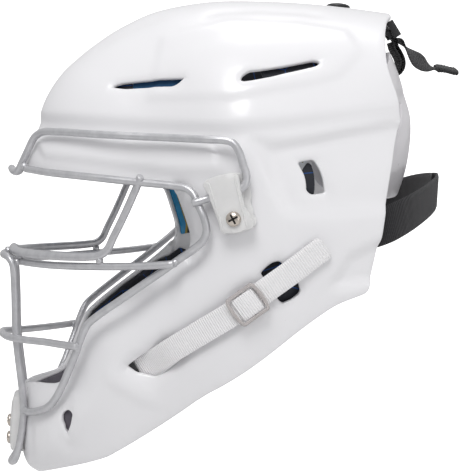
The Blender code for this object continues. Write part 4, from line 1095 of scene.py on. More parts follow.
BROW_BAR = [(-151, 0, 48), (-149.3, -9, 46), (-146.3, -17, 45.8), (-143.8, -21, 50.5),
            (-139.5, -23.5, 59.5), (-134.8, -27, 68.5), (-130, -33, 71.8), (-119.5, -48, 72),
            (-93, -69, 70), (-57, -86, 68), (-24, -105.5, 66.2), (-15.5, -108.9, 65.8),
            (-10, -111, 64.2), (-6.6, -112.4, 59.6), (-4, -113.7, 51.3), (-1.8, -115.1, 43.6),
            (-2.1, -115.6, 39.8), (-4.6, -115.3, 35.9), (-8.3, -114, 33.4), (-15.5, -110.5, 31.5),
            (-23, -107.2, 29.8), (-25.5, -105.8, 29.2)]
SIDE_BAR = [(-139.3, -27, 47.3), (-124.5, -50, 45.2), (-99.5, -69.5, 42.6), (-71, -82.5, 39.6),
            (-45, -94.5, 37), (-38, -98.3, 35.6), (-33.7, -101, 32), (-31.5, -103, 26.5),
            (-27.5, -106.3, 17), (-26, -106.8, 9), (-28.2, -104.5, 2.5), (-34, -101, -3),
            (-42.5, -95.5, -9.5), (-54.5, -90, -18.5), (-78.5, -80, -36), (-94, -72, -47.5),
            (-100, -69, -53), (-104, -66.5, -61), (-108, -64, -72.5), (-116, -56, -93),
            (-120.5, -51, -104), (-125, -46, -110.3), (-131, -37, -114.3), (-136.8, -27.5, -116.6)]
EYE_BAR_PATH = [(-150.6, 0, -6.4), (-148, -12, -8.3), (-138, -34, -9), (-125, -50, -9.2),
                (-112, -61.5, -9.2), (-99, -70.5, -8.7), (-92, -74.5, -7.6), (-87.3, -77, -4),
                (-84, -78, 3), (-79, -79, 13), (-73, -80.5, 26), (-70.2, -81.3, 32.5),
                (-68.8, -81.7, 35.6)]
NOSE_BAR = [(-148.3, 0, -15.2), (-145.2, -14, -15.4), (-132.5, -36, -15.8), (-119, -52, -15.9),
            (-93, -73, -15.3), (-68, -88, -14.2), (-50, -97.5, -12.6), (-46.5, -99, -12.2)]
MOUTH_BAR = [(-158.3, 0, -65), (-157, -11, -65.2), (-153.3, -20.5, -66.2), (-142, -33, -66.9),
             (-129, -45, -67), (-117, -59.8, -67.2), (-110.2, -68.4, -67.2), (-107.6, -71.4, -67.2)]
CHIN_LOOP = [(-156.8, 0, -10.6), (-156.2, -11, -11), (-153.2, -17.5, -12.2), (-150.2, -20, -16.5),
             (-148.8, -20, -34), (-148.4, -20, -58), (-147.8, -20, -70), (-143.9, -20, -106),
             (-143.3, -20, -118), (-144.9, -20, -132), (-147.9, -19, -146), (-150, -14, -152),
             (-152, -7, -154.2), (-152.6, 0, -154.6)]


def loop_both(points):
    """A closed loop from a run that starts and ends on the middle plane."""
    p = np.asarray(points, float)
    return np.vstack([p, (p * [1, -1, 1])[::-1][1:-1]])


V = 2.5                          # seen bar radius with its coating
brow_half = [tuple(q) for q in BROW_BAR] + [(-30.5, -106.2, 27.6), (-34.5, -105.2, 26.4)]
brow_path = catmull(both(brow_half), step=2.6)
side_path = stand_off(catmull(SIDE_BAR, step=2.6), R + 0.5)
eye_path = catmull(both(list(EYE_BAR_PATH) + [(-67.6, -84.0, 39.5), (-66.4, -86.2, 42.8)]), step=2.6)
nose_path = catmull(both(NOSE_BAR), step=2.8)
mouth_path = catmull(both(MOUTH_BAR), step=2.8)
loop_path = catmull(loop_both(CHIN_LOOP), step=2.6, closed=True)[:-1]
oval = []
for q in eye_path:
    k = float(smooth((q[2] + 6) / 12))
    oval.append((1.34 - 0.06 * k, 0.98))
BARS = {
    "brow_bar": (tube(brow_path, V), ["cage_brow_bar"]),
    "side_bar_left": (tube(side_path, V), ["left_cage_side_bar"]),
    "side_bar_right": (mirror_y(tube(side_path, V)), ["right_cage_side_bar"]),
    "eye_bar": (tube(eye_path, R, scale=oval), ["cage_eye_bar"]),
    "nose_bar": (tube(nose_path, V), ["cage_nose_bar"]),
    "mouth_bar": (tube(mouth_path, V), ["cage_mouth_bar"]),
    "chin_loop": (tube(loop_path, V, closed=True), ["cage_chin_loop"]),
}
for name, (vf, old) in BARS.items():
    piece(name, *vf, M_BAR, "shell", "cage_steel", old, angle=70)


def closest(a, b, near=None):
    """The nearest pair of points of two paths, by pieces of both."""
    if near is not None:
        a = a[np.linalg.norm(a - near, axis=1) < 30]
        b = b[np.linalg.norm(b - near, axis=1) < 30]
    d = np.linalg.norm(a[:, None] - b[None], axis=2)
    i, j = np.unravel_index(np.argmin(d), d.shape)
    return a[i], b[j]


def bead(a, b, size, seed):
    """A weld bead filling the gap between two bars."""
    c = (a + b) / 2
    ax = b - a
    L = np.linalg.norm(ax)
    ax = ax / max(L, 1e-6)
    u = np.cross(ax, [0.3, 0.2, 1.0])
    u /= np.linalg.norm(u)
    w = np.cross(ax, u)
    rng = np.random.default_rng(seed)
    vs, fs = [], []
    nu, nv = 14, 8
    ph = rng.uniform(0, 6.28, 3)
    for i in range(nv + 1):
        la = math.pi * i / nv - math.pi / 2
        for j in range(nu):
            lo = 2 * math.pi * j / nu
            k = size * (1 + 0.10 * math.sin(3 * lo + ph[0]) + 0.07 * math.sin(5 * la + ph[1]))
            vs.append(c + ax * (max(L * 0.34, 1.2) * math.sin(la)) + u * k * math.cos(la) * math.cos(lo)
                      + w * k * math.cos(la) * math.sin(lo))
    for i in range(nv):
        for j in range(nu):
            j2 = (j + 1) % nu
            fs.append([i * nu + j, i * nu + j2, (i + 1) * nu + j2, (i + 1) * nu + j])
    fs.append(list(range(nu))[::-1])
    fs.append([nv * nu + j for j in range(nu)])
    return np.array(vs), fs


beads = []
pairs = [(nose_path, side_path, (-47, -98, -12)), (mouth_path, side_path, (-107, -68, -67)),
         (eye_path, side_path, (-69, -82, 37)), 
         (brow_path, side_path, (-140, -25, 48)), (loop_path, side_path, (-140, -22, -118)),
         (loop_path, mouth_path, (-152, -20, -66)), (loop_path, nose_path, (-147, -19, -15)),
         (eye_path[(eye_path[:, 0] > -93) & (eye_path[:, 2] < -6)], nose_path[nose_path[:, 0] > -93], (-90, -75, -11)), (eye_path, nose_path, (-140, -28, -12)),
         (loop_path, eye_path, (-152, -16, -9))]
for i, (a, b, near) in enumerate(pairs):
    p, q = closest(a, b, np.array(near, float))
    w = bead(p, q, 2.5, i)
    beads += [w, mirror_y(w)]
p, q = closest(loop_path, eye_path, np.array([-153, 0, -8.0]))
piece("weld_beads", *merge(beads), M_BAR, "shell", "cage_steel", angle=70)

# ------------------------------------------------------------------ clips
CLIP = [(-23.5, 38.5), (-21.5, 40.5), (-9, 44.3), (-5.5, 44), (-4.8, 40), (-3.8, 32), (-2, 24), (2.8, 15.5),
        (2.6, 12.5), (0.8, 11), (-12.4, 7.9), (-13.9, 9.2), (-16.6, 19.8), (-19.6, 27.7), (-20.3, 32),
        (-22.8, 35)]
SCREW_XZ = (-7.3, 16.9)

def chin_front(y, z, off):
    """Point in front of the chin, at half width y and height z."""
    lo, hi = -190.0, -60.0
    for _ in range(50):
        mid = (lo + hi) / 2
        th = math.atan2(z - SHELL.pz, mid - SHELL.px)
        s = math.hypot(mid - SHELL.px, z - SHELL.pz) / SHELL.radius(th)
        g = (abs(y) / (SHELL.w * float(front_taper(mid)))) ** SHELL.n + s ** SHELL.n - 1
        if g > 0:
            lo = mid
        else:
            hi = mid
    return hi - off


def normal_at(x, z):
    p = SHELL.at(x, z)
    return p, SHELL.normal(p[None])[0]


sp, sn = normal_at(*SCREW_XZ)
FLANGE = [(-24.5, 37.0), (-22.5, 40.5), (-9, 44.8), (-4.5, 44.8), (-2, 41.5), (0.6, 36), (1.4, 31), (0.8, 27),
          (4.6, 16), (4.0, 12.8), (1.6, 11), (-8, 8), (-12.6, 7.5), (-14.4, 9), (-17, 19.8), (-20, 27.7),
          (-21.2, 32), (-24, 34.5)]
RAIL_F = [(-20.3, 38), (-12.8, 9.5)]
RAIL_R = [(-7.0, 42.5), (-0.8, 13)]
clip_loop = list(map(tuple, fillet(CLIP, 2.0)))
keep = np.array([p for p in brow_path[-40:] if p[1] < -100 and p[2] < 50])
d1, d0 = keep[-1] - keep[-2], keep[0] - keep[1]
d1, d0 = d1 / np.linalg.norm(d1), d0 / np.linalg.norm(d0)
chan = np.vstack([keep[0] + d0 * 12, keep[0] + d0 * 6, keep, keep[-1] + d1 * 8, keep[-1] + d1 * 16])
SLOTTED = [(0.0, 0.0)]


def cross_cutter(c, n, top):
    """Phillips recess."""
    u = np.cross(n, [0, 0, 1.0])
    u /= np.linalg.norm(u)
    w = np.cross(n, u)
    a = math.radians(28)
    u, w = u * math.cos(a) + w * math.sin(a), -u * math.sin(a) + w * math.cos(a)
    return [box(np.asarray(c) + n * top, u, w, (3.3, 0.62, 2.3)),
            box(np.asarray(c) + n * top, w, u, (3.3, 0.62, 2.3))]


def screw(name, c, n, prof, top, node, flip):
    vf = turned(prof, c, n, 40)
    ob = piece(name, *(mirror_y(vf) if flip else vf), M_SCREW, "shell", "fastener_steel", (node,), angle=30)
    for i, cv in enumerate(cross_cutter(c, n, top)):
        boolean(ob, mirror_y(cv) if flip else cv)
        cut_ = np.asarray(cv[0], float)
        high = (cut_ - cut_.mean(axis=0)) @ np.asarray(n, float)
        deep = high.max()
        low = cut_ - high[:, None] * n + n * (-deep - 0.15 + 0.5 * (high[:, None] + deep) / (2 * deep))
        # a black sheet on the floor of each cross recess: painted shade in the recess of the steel screw
        piece(f"{name}_recess_{i}", *((mirror_y((low, cv[1]))) if flip else (low, cv[1])), M_BLACK_NYLON_AND_RECESS_SHADE, "shell",
              "fastener_steel", angle=30)
    smooth_shade(ob, 30)
    return ob


HEAD = [(0, -6.9), (SCREW_R, -6.9), (SCREW_R, 10.25), (4.5, 10.25), (4.75, 10.5),
        (4.75, 11.2), (4.3, 12.0), (3.4, 12.7), (2.2, 13.1), (1.0, 13.3), (0, 13.35)]
for side, flip in (("left", False), ("right", True)):
    fl = mirror_y if flip else (lambda q: q)
    cv, cf, _ = wall(SHELL, [clip_loop], 3.0, step=2.0, offs=(10.0, 0.6), lip=0.7, rows=7)
    ob = piece(f"{side}_clip_moulding", *fl((cv, cf)), M_CLIP, "shell", "clip_plastic",
               (f"{side}_cage_clip",), angle=50)
    fv, ff, _ = wall(SHELL, [list(map(tuple, fillet(FLANGE, 1.6)))], 3.0, step=2.0, offs=(2.6, 0.7), lip=0.5,
                     rows=5)
    foot = piece(f"{side}_clip_foot", *fl((fv, ff)), M_CLIP, "shell", "clip_plastic", angle=50)
    boolean(foot, fl(turned([(0, -5), (2.3, -5), (2.3, 16), (0, 16)], sp, sn, 24)))
    smooth_shade(foot, 45)
    for name, x0, x1 in (("front", 0.0, 1.0), ("rear", 1.0, 0.0)):
        rib = []
        for k in range(13):
            w = k / 12
            a = np.array(RAIL_F[0]) * (1 - w) + np.array(RAIL_F[1]) * w
            b = np.array(RAIL_R[0]) * (1 - w) + np.array(RAIL_R[1]) * w
            c = a * x1 + b * x0
            cp, cn = normal_at(*c)
            rib.append(cp + cn * 10.1)
        piece(f"{side}_clip_rib_{name}", *fl(tube(rib, 0.55, 10)), M_CLIP, "shell", "clip_plastic", angle=60)
    boolean(ob, fl(tube(chan, V + 0.15, 20)))
    boolean(ob, fl(turned([(0, 5.0), (5.4, 5.0), (5.4, 20), (0, 20)], sp + sn * 5.0, sn, 36)))
    boolean(ob, fl(turned([(0, -5), (2.3, -5), (2.3, 16), (0, 16)], sp, sn, 24)))
    smooth_shade(ob, 45)
    screw(f"{side}_screw", sp, sn, HEAD, 13.5, f"{side}_clip_screw", flip)
    nv = turned([(2.3, -5.7), (4.7, -5.7), (4.9, -5.9), (4.9, -6.2), (4.7, -6.4), (4.0, -6.4), (4.0, -7.2),
                 (2.3, -7.2)], sp, sn, 32)
    piece(f"{side}_t_nut", *fl(nv), M_SCREW, "shell", "fastener_steel", (f"{side}_clip_t_nut",), angle=30)

CHIN_CLIP_Z = (-108.0, -145.5)
rowz = np.linspace(CHIN_CLIP_Z[0], CHIN_CLIP_Z[1], 30)
rowy = np.linspace(-16.2, 16.2, 30)
vs, fs = [], []
for layer in (0, 1):
    for zz in rowz:
        e = min(zz - CHIN_CLIP_Z[1], CHIN_CLIP_Z[0] - zz)
        for yy in rowy:
            ey = 16.2 - abs(yy)
            soft = 1.6 * (max(0, 1 - ey / 2.5) ** 2 + max(0, 1 - e / 2.5) ** 2)
            rib = 0.7 * (abs(yy) < 12.5) * (e > 4)
            x = (chin_front(0.0, zz, 7.6 + rib) + soft) if layer == 0 else chin_front(yy, zz, 0.8)
            vs.append((x, yy, zz))
m2 = 30 * 30
qi = lambda i, j: j * 30 + i
for j in range(29):
    for i in range(29):
        fs.append([qi(i, j), qi(i + 1, j), qi(i + 1, j + 1), qi(i, j + 1)])
        fs.append([m2 + qi(i, j), m2 + qi(i, j + 1), m2 + qi(i + 1, j + 1), m2 + qi(i + 1, j)])
rim = ([qi(i, 0) for i in range(29)] + [qi(29, j) for j in range(29)] + [qi(i, 29) for i in range(29, 0, -1)]
       + [qi(0, j) for j in range(29, 0, -1)])
for k in range(len(rim)):
    a, b = rim[k], rim[(k + 1) % len(rim)]
    fs.append([b, a, a + m2, b + m2])
chin_clip = piece("chin_clip_moulding", vs, fs, M_CLIP, "shell", "clip_plastic", ("chin_cage_clip",), angle=50)
CHIN_HEAD = [(0, -7.5), (SCREW_R, -7.5), (SCREW_R, 8.45), (4.3, 8.45), (SCREW_HEAD_R, 8.7),
             (SCREW_HEAD_R, 9.2), (4.0, 9.9), (3.0, 10.5), (1.5, 10.9), (0, 11.0)]
for where, cz in (("upper", -126.5), ("lower", -138.5)):
    cx = chin_front(0, cz, 0)
    boolean(chin_clip, turned([(0, -14), (2.3, -14), (2.3, 14), (0, 14)], (cx, 0, cz), (-1, 0, 0), 24))
    boolean(shell, turned([(0, -14), (2.6, -14), (2.6, 6), (0, 6)], (cx, 0, cz), (-1, 0, 0), 24))
    screw(f"{where}_chin_bolt", (cx, 0, cz), np.array([-1.0, 0, 0]), CHIN_HEAD, 11.1,
          f"{where}_chin_screw", False)
    nv = turned([(2.3, -4.4), (5.0, -4.4), (5.4, -4.8), (5.4, -6.6), (5.0, -7.0), (2.3, -7.0)], (cx, 0, cz),
                (-1, 0, 0), 6)
    piece(f"{where}_chin_lock_nut", *nv, M_SCREW, "shell", "fastener_steel", (f"{where}_chin_nut",), angle=20)
smooth_shade(chin_clip, 50)
for side, flip in (("left", False), ("right", True)):
    fl = mirror_y if flip else (lambda q: q)
    boolean(shell, fl(turned([(0, -8), (2.6, -8), (2.6, 8), (0, 8)], sp, sn, 24)))
smooth_shade(shell, 60)

# ------------------------------------------------------------------ pads
BROW_PAD = (outline_run(SHELL, angle_of(SHELL, -137.5, 66), angle_of(SHELL, -117, 112), 5)
            + [(-108, 108), (-72, 98), (-68, 90), (-70, 60), (-72, 45), (-100, 48.5), (-125, 51.5),
               (-136, 53)]
            + outline_run(SHELL, angle_of(SHELL, -142.5, 53), angle_of(SHELL, -141, 58), 2))
TEMPLE_PAD = [(-60, 100), (-44, 106), (-27, 106), (-22, 60), (-13, 37), (-5, 24), (-3, 7), (-13, 7),
              (-18, 24), (-22, 35), (-34, 50), (-60, 53), (-62, 70)]
JAW_PAD = [(-28, -20), (-13, -21), (0, -32), (0, -48), (-22, -64), (-36, -56), (-58, -66),
           (-74, -80), (-91, -86), (-99, -78), (-94, -61), (-70, -43), (-48, -29)]
SIDE_PAD = [(-12, 60), (5, 84), (55, 88), (69, 74), (68, 52), (54, 60), (28, 60), (22, 36),
            (8, 30), (-8, 40)]
CHIN_PAD = (outline_run(SHELL, angle_of(SHELL, -141, -150) + 2 * math.pi,
                        angle_of(SHELL, -143, -114) + 2 * math.pi, 5)
            + [(-136, -112), (-127, -113), (-123, -115), (-123, -126), (-118, -134), (-116, -146),
               (-130, -152)])


def puff(name, vf, mat, body, node, dome=SHELL, near=4.0, far=16.0, voxel=0.0032, cap=0.0020,
         depth_of=None):
    """A foam pad swollen by cloth pressure from a slightly smaller solid."""
    ob = piece(name, *vf, mat, None)
    r = ob.modifiers.new("remesh", "REMESH")
    r.mode = "VOXEL"
    r.voxel_size = voxel
    bpy.context.view_layer.update()
    bake(ob)
    rest = np.empty(len(ob.data.vertices) * 3)
    ob.data.vertices.foreach_get("co", rest)
    rest = rest.reshape(-1, 3)
    c = ob.modifiers.new("cloth", "CLOTH")
    s = c.settings
    s.quality = 5
    s.mass = 0.25
    s.tension_stiffness = 25
    s.compression_stiffness = 25
    s.bending_stiffness = 1.5
    s.use_pressure = True
    s.uniform_pressure_force = 4.0
    s.effector_weights.gravity = 0.0
    c.point_cache.frame_start = 1
    c.point_cache.frame_end = 14
    for fr in range(1, 15):
        bpy.context.scene.frame_set(fr)
    bake(ob)
    bpy.context.scene.frame_set(1)
    new = np.empty(len(ob.data.vertices) * 3)
    ob.data.vertices.foreach_get("co", new)
    new = new.reshape(-1, 3)
    d = new - rest
    L = np.linalg.norm(d, axis=1)
    k = np.where(L > cap, cap / np.maximum(L, 1e-9), 1.0)
    rest = rest + d * k[:, None]
    ob.data.vertices.foreach_set("co", rest.ravel())
    sm = ob.modifiers.new("smooth", "SMOOTH")
    sm.factor = 0.5
    sm.iterations = 3
    sub = ob.modifiers.new("sub", "SUBSURF")
    sub.levels = sub.render_levels = 1
    bpy.context.view_layer.update()
    bake(ob)
    co = np.empty(len(ob.data.vertices) * 3)
    ob.data.vertices.foreach_get("co", co)
    co = co.reshape(-1, 3)
    mm = co * 1000 + np.array(ORIGIN)
    dep = depth_of(mm) if depth_of else (dome_depth(dome, mm) - near) / (far - near)
    at = ob.data.attributes.new("depth", "FLOAT", "POINT")
    at.data.foreach_set("value", np.clip(dep, 0.0, 1.0).astype(np.float32))
    smooth_shade(ob, 75)
    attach(ob, body)
    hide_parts(node)
    return ob


def pad_wall(poly, near, far, midline=False, dome=SHELL):
    v, f, _ = wall(dome, [poly], 6.0, midline=midline, step=4.5, offs=(-near - 0.6, -far + 0.6), lip=0.2,
                   rows=3)
    return v, f


puff("brow_cushion", pad_wall(BROW_PAD, 4.4, 16.0, True), M_PAD, "shell", "brow_pad",
     near=4.4, far=16.0)
for node, poly, near, far, mat, sl in (("temple_pad", TEMPLE_PAD, 8.2, 20.0, M_PAD, "pad_blue"),
                                       ("jaw_pad", JAW_PAD, 11.0, 23.0, M_DARKPAD, "pad_dark"),
                                       ("side_pad", SIDE_PAD, 7.2, 19.0, M_PAD, "pad_blue")):
    vf = pad_wall(poly, near, far)
    for side, fl in (("left", lambda q: q), ("right", mirror_y)):
        puff(f"{side}_{node.replace('pad', 'cushion')}", fl(vf), mat, "shell", f"{side}_{node}",
             near=near, far=far)
puff("chin_cushion", pad_wall(CHIN_PAD, 8.3, 14.5, True), M_DARKPAD, "shell", "chin_pad",
     near=8.3, far=14.5, cap=0.0015)
def dome_height(x, y, off):
    """Height of the shell over x, y, less an offset along the normal."""
    lo, hi = 60.0, 175.0
    for _ in range(45):
        z = (lo + hi) / 2
        th = math.atan2(z - SHELL.pz, x - SHELL.px)
        s = math.hypot(x - SHELL.px, z - SHELL.pz) / SHELL.radius(th)
        g = (abs(y) / (SHELL.w * float(front_taper(x)))) ** SHELL.n + s ** SHELL.n - 1
        if g > 0:
            hi = z
        else:
            lo = z
    p = np.array([[x, y if abs(y) > 1e-6 else 1e-6, lo]])
    return (p + SHELL.normal(p) * off)[0]


vs, fs = [], []
gx, gy = np.linspace(15 - 43, 15 + 43, 15), np.linspace(-33, 33, 13)
for yy in gy:
    for xx in gx:
        vs.append((xx, yy, max(dome_height(xx, yy, -6.0)[2], 144.0)))
for yy in gy:
    for xx in gx:
        vs.append((xx, yy, 141.8))
m2 = len(gx) * len(gy)
qi = lambda i, j: j * len(gx) + i
for j in range(len(gy) - 1):
    for i in range(len(gx) - 1):
        fs.append([qi(i, j), qi(i + 1, j), qi(i + 1, j + 1), qi(i, j + 1)])
        fs.append([m2 + qi(i, j), m2 + qi(i, j + 1), m2 + qi(i + 1, j + 1), m2 + qi(i + 1, j)])
nx1, ny1 = len(gx) - 1, len(gy) - 1
rim = ([qi(i, 0) for i in range(nx1)] + [qi(nx1, j) for j in range(ny1)] + [qi(i, ny1) for i in range(nx1, 0, -1)]
       + [qi(0, j) for j in range(ny1, 0, -1)])
for k in range(len(rim)):
    a, b = rim[k], rim[(k + 1) % len(rim)]
    fs.append([b, a, a + m2, b + m2])
puff("crown_cushion", (np.array(vs), fs), M_PAD, "shell", "crown_pad", cap=0.0012,
     depth_of=lambda q: np.clip((158 - q[:, 2]) / 17.0, 0, 1))

# ------------------------------------------------------------------ jaw straps
STRAP_LINE = [(49, -1), (38, -9), (27, -17), (14, -26), (5, -32.5), (-2, -38), (-12, -45),
              (-23, -52.5), (-36, -61.5), (-48, -70), (-56, -76), (-63, -81), (-70, -86), (-77, -91)]
STRAP_LIFT = [1.9, 2.2, 2.6, 3.2, 3.6, 3.6, 3.4, 2.9, 2.4, 1.2, -2.6, -7.0, -8.4, -8.4]


def shell_outer(x, z, off):
    p = SHELL.at(x, z)
    n = SHELL.normal(p[None])[0]
    return p + n * (off + float(relief(np.array([[x, z]]))[0])), n


line = catmull([(x, z, o) for (x, z), o in zip(STRAP_LINE, STRAP_LIFT)], step=0.45)
pts, nrm = [], []
for x, z, o in line:
    q, n = shell_outer(x, z, o)
    pts.append(q)
    nrm.append(n)
pts, nrm = np.array(pts), np.array(nrm)
ker = np.ones(9) / 9
for k in range(3):
    pad = np.pad(pts[:, k], 4, mode="edge")
    sm = np.convolve(pad, ker, "valid")
    pts[4:-4, k] = sm[4:-4]
tan = np.gradient(pts, axis=0)
tan /= np.linalg.norm(tan, axis=1)[:, None]
bv, bf, buv = band(pts, np.cross(nrm, tan), STRAP_W, STRAP_T, ribs=(1.6, 0.13), round_ends=3.0)
for side, flip in (("left", False), ("right", True)):
    vf = mirror_y((bv, bf)) if flip else (bv, bf)
    piece(f"{side}_jaw_elastic", *vf, M_WHITE, "shell", "elastic_white", (f"{side}_jaw_strap",), angle=70, uv=buv)
    ap, an = shell_outer(-73.0, -88.2, -5.7)
    k = int(np.argmin(np.linalg.norm(pts - ap, axis=1)))
    ab = box(ap, tan[k], np.cross(an, tan[k]), (6.0, 9.0, 0.9))
    ob = piece(f"{side}_strap_keeper", *(mirror_y(ab) if flip else ab), M_BLACK_NYLON_AND_RECESS_SHADE, "shell", "trim_black",
               (f"{side}_jaw_strap_anchor",))
    rounded(ob, 0.6)
    bake(ob)
    smooth_shade(ob, 50)

bp, bn = shell_outer(0.0, -37.0, 0.0)
bi = int(np.argmin(np.linalg.norm(pts - (bp + bn * 3.6), axis=1)))
bt = tan[bi] - (tan[bi] @ bn) * bn
bt /= np.linalg.norm(bt)
bw = np.cross(bn, bt)
bc = pts[bi]


def frame_ring(hx, hy, waist, height, rad_n, rad_p):
    """The buckle's hourglass frame: a closed loop of rounded section."""
    pts2 = [(-hx, -hy), (-hx * 0.55, -hy + 0.2), (-hx * 0.30, -waist), (hx * 0.30, -waist),
            (hx * 0.55, -hy + 0.2), (hx, -hy), (hx, hy), (hx * 0.55, hy - 0.2), (hx * 0.30, waist),
            (-hx * 0.30, waist), (-hx * 0.55, hy - 0.2), (-hx, hy)]
    c = chaikin(pts2, 3, closed=True)
    n = len(c)
    vs, fs = [], []
    for i in range(n):
        t = c[(i + 1) % n] - c[i - 1]
        t /= np.linalg.norm(t)
        o = np.array([t[1], -t[0]])
        for k in range(12):
            a = 2 * math.pi * k / 12
            ca, sa = math.cos(a), math.sin(a)
            q = c[i] + o * rad_p * np.sign(ca) * abs(ca) ** 0.6
            h = height + rad_n * np.sign(sa) * abs(sa) ** 0.6
            vs.append(bc + bt * q[0] + bw * q[1] + bn * h)
    for i in range(n):
        for k in range(12):
            k2 = (k + 1) % 12
            i2 = (i + 1) % n
            fs.append([i * 12 + k, i * 12 + k2, i2 * 12 + k2, i2 * 12 + k])
    return np.array(vs), fs


ring = frame_ring(10.6, 9.6, 9.4, 1.9, 1.0, 1.15)
mid_bar = [bc + bw * s - bn * 2.1 for s in np.linspace(-9.4, 9.4, 12)]
posts = [tube([bc + bw * s * 9.5 - bn * 2.4, bc + bw * s * 9.5 - bn * 0.8, bc + bw * s * 9.5 + bn * 1.4], 0.85, 12)
         for s in (-1, 1)]
teeth = [box(bc - bt * 9.1 + bw * s + bn * 1.2, bt, bw, (0.5, 0.35, 0.5)) for s in np.linspace(-7, 7, 12)]
buckle = merge([ring, tube(mid_bar, 0.75, 14)] + posts + teeth)
lift = [bc + bt * s + bn * (0.95 + 1.25 * math.cos(s / 7.4 * math.pi / 2) ** 0.8) for s in np.linspace(-7.3, 7.3, 34)]
lv, lf, luv = band(lift, [bw] * 34, 15.4, 1.3, ribs=(1.6, 0.12))
for side, flip in (("left", False), ("right", True)):
    fl = mirror_y if flip else (lambda q: q)
    piece(f"{side}_slide_buckle", *fl(buckle), M_CLEAR, f"{side}_buckle", "clear_plastic",
          (f"{side}_strap_buckle",), angle=60)
    piece(f"{side}_strap_fold", *fl((lv, lf)), M_WHITE, f"{side}_buckle", "elastic_white", angle=70, uv=luv)

# ------------------------------------------------------------------ back plate
top_mid = angle_of(BACK, 107.8, 127.0)
low_mid = angle_of(BACK, 113.5, 31.5)
rear_line = outline_run(BACK, top_mid, low_mid, 12)
PLATE = rear_line + [(107, 29), (95, 28), (83, 30), (75, 38), (72, 60), (75, 88), (83, 103),
                     (94, 111), (101, 118), (105, 126)]
PLATE_VENT = [(101, 65), (106, 67), (110.5, 79), (112, 92), (109.5, 93.5), (103, 83)]

BACK_PAD = (outline_run(BACK, angle_of(BACK, 119, 97), angle_of(BACK, 114.5, 33.5), 8)
            + [(105, 34), (93, 35), (87, 46), (87, 78), (95, 96), (103, 101)])

rear_line = outline_run(BACK, top_mid, low_mid, 40)
tail = fillet([rear_line[-1]] + PLATE[12:] + [rear_line[0]], 5.0, 4)[5:-5]
plate_loop = list(map(tuple, rear_line)) + list(map(tuple, tail))


def plate_surface(uv, off):
    p = BACK.point(uv)
    n = BACK.normal(p)
    xz = p[:, [0, 2]]
    h = -2.2 * plateau(xz, [(96, 55), (103, 57), (112, 71), (116, 85), (114, 99), (107, 99), (99, 85)], 4)
    h = h + 1.2 * plateau(xz, [(79, 41), (95, 39), (103, 45), (99, 53), (83, 53)], 4)
    return p + n * (h + off)[:, None], n


v, f, _ = wall(BACK, [plate_loop, list(map(tuple, fillet(PLATE_VENT, 2.0, 3)))], PITCH + 0.4,
               midline=True, step=STEP + 0.3, surf=plate_surface, offs=(0.0, -3.0), lip=0.9)
plate_ob = piece("occipital_plate", v, f, M_PLATE, "back_plate", "shell_plastic", ("back_plate",), angle=60)
boolean(plate_ob, box((112.6, 0, 112.5), (0.4, 0, -0.91), (0, 1, 0), (2.4, 11.5, 9)))
smooth_shade(plate_ob, 60)
v, f, _ = wall(BACK, [BACK_PAD], 6.0, midline=True, step=4.5, offs=(-4.1, -13.4), lip=0.2, rows=3)
# the shell side of this cushion carries painted shade, grey-violet as seen in the plate vent
puff("occipital_cushion", (v, f), M_BACK_PAD_SHADED, "back_plate", "back_plate_pad", dome=BACK, near=3.5,
     far=14.0)

# ------------------------------------------------------------------ top strap
cap_c = dome_height(76.0, 0.0, 0.0)
piece("crown_cap", *turned([(0, 0.5), (8.0, 0.5), (8.4, 0.8), (8.3, 1.3), (7.4, 2.1), (5.5, 2.8), (3.0, 3.2),
                           (0, 3.3)], cap_c, (0.06, 0, 1), 48), M_BLACK_NYLON_AND_RECESS_SHADE, "shell", "trim_black",
      ("top_strap_cap",), angle=50)
WEB = [(82, 151.5), (92, 150), (101, 147.5), (107.5, 143.5)]
wp = [(x, 0, z) for x, z in catmull(WEB, step=1.2)]
v, f, uv = band(wp, [(0, 1, 0)] * len(wp), WEB_W, WEB_T, ribs=(1.9, 0.12))
piece("inner_webbing", v, f, M_WEB, "shell", "webbing_black", ("top_strap_inner_web",), angle=70, uv=uv)
LOOP = [(106.8, 138.0), (103.0, 133.5), (101.4, 127), (101.9, 120), (104.4, 115), (108.6, 112.6),
        (113.6, 112.0), (118.6, 113.6), (121.6, 117.6), (122.0, 123), (119.6, 129), (117.0, 133.2),
        (116.6, 136.4)]
FOLD = [(113.2, 114.0), (116.6, 115.6), (118.8, 119), (118.9, 123), (116.9, 127.6), (114.6, 131.6),
        (113.4, 136.0)]
TAIL = [(116.9, 138.0), (119.0, 138.0), (122.6, 134.6), (126.5, 130), (132, 124.6), (139, 120), (147, 117.8)]
lp = catmull(LOOP, step=1.2)
lp3 = [(x, 0, z) for x, z in lp]
v, f, uv = band(lp3, [(0, 1, 0)] * len(lp3), WEB_W, WEB_T, ribs=(1.9, 0.12))
w2 = [(x, 0, z) for x, z in catmull(FOLD, step=1.2)]
v2, f2, uv2 = band(w2, [(0, 1, 0)] * len(w2), WEB_W, WEB_T * 1.6, ribs=(1.9, 0.12))
w3 = [(x, 0, z) for x, z in catmull([(110.4, 143.6), (113.6, 140.8), (115.6, 138.6), (117.4, 135.6)], step=1.2)]
v3, f3, uv3 = band(w3, [(0, 1, 0)] * len(w3), WEB_W, WEB_T, ribs=(1.9, 0.12))
v, f = merge([(v, f), (v2, f2), (v3, f3)])
uv = np.vstack([uv, uv2, uv3])
loop_ob = piece("top_strap_loop", v, f, M_WEB, None, "webbing_black", (), angle=70, uv=uv)
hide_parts("top_strap")
tp = catmull(TAIL, step=1.2)
tw = 0.85 * np.sin(np.clip((tp[:, 0] - 121) / 24, 0, 1) * math.pi)
across = np.stack([0 * tw, np.cos(tw), np.sin(tw)], 1)
v, f, uv = band([(x, 0, z) for x, z in tp], across, WEB_W, WEB_T, ribs=(1.9, 0.12))
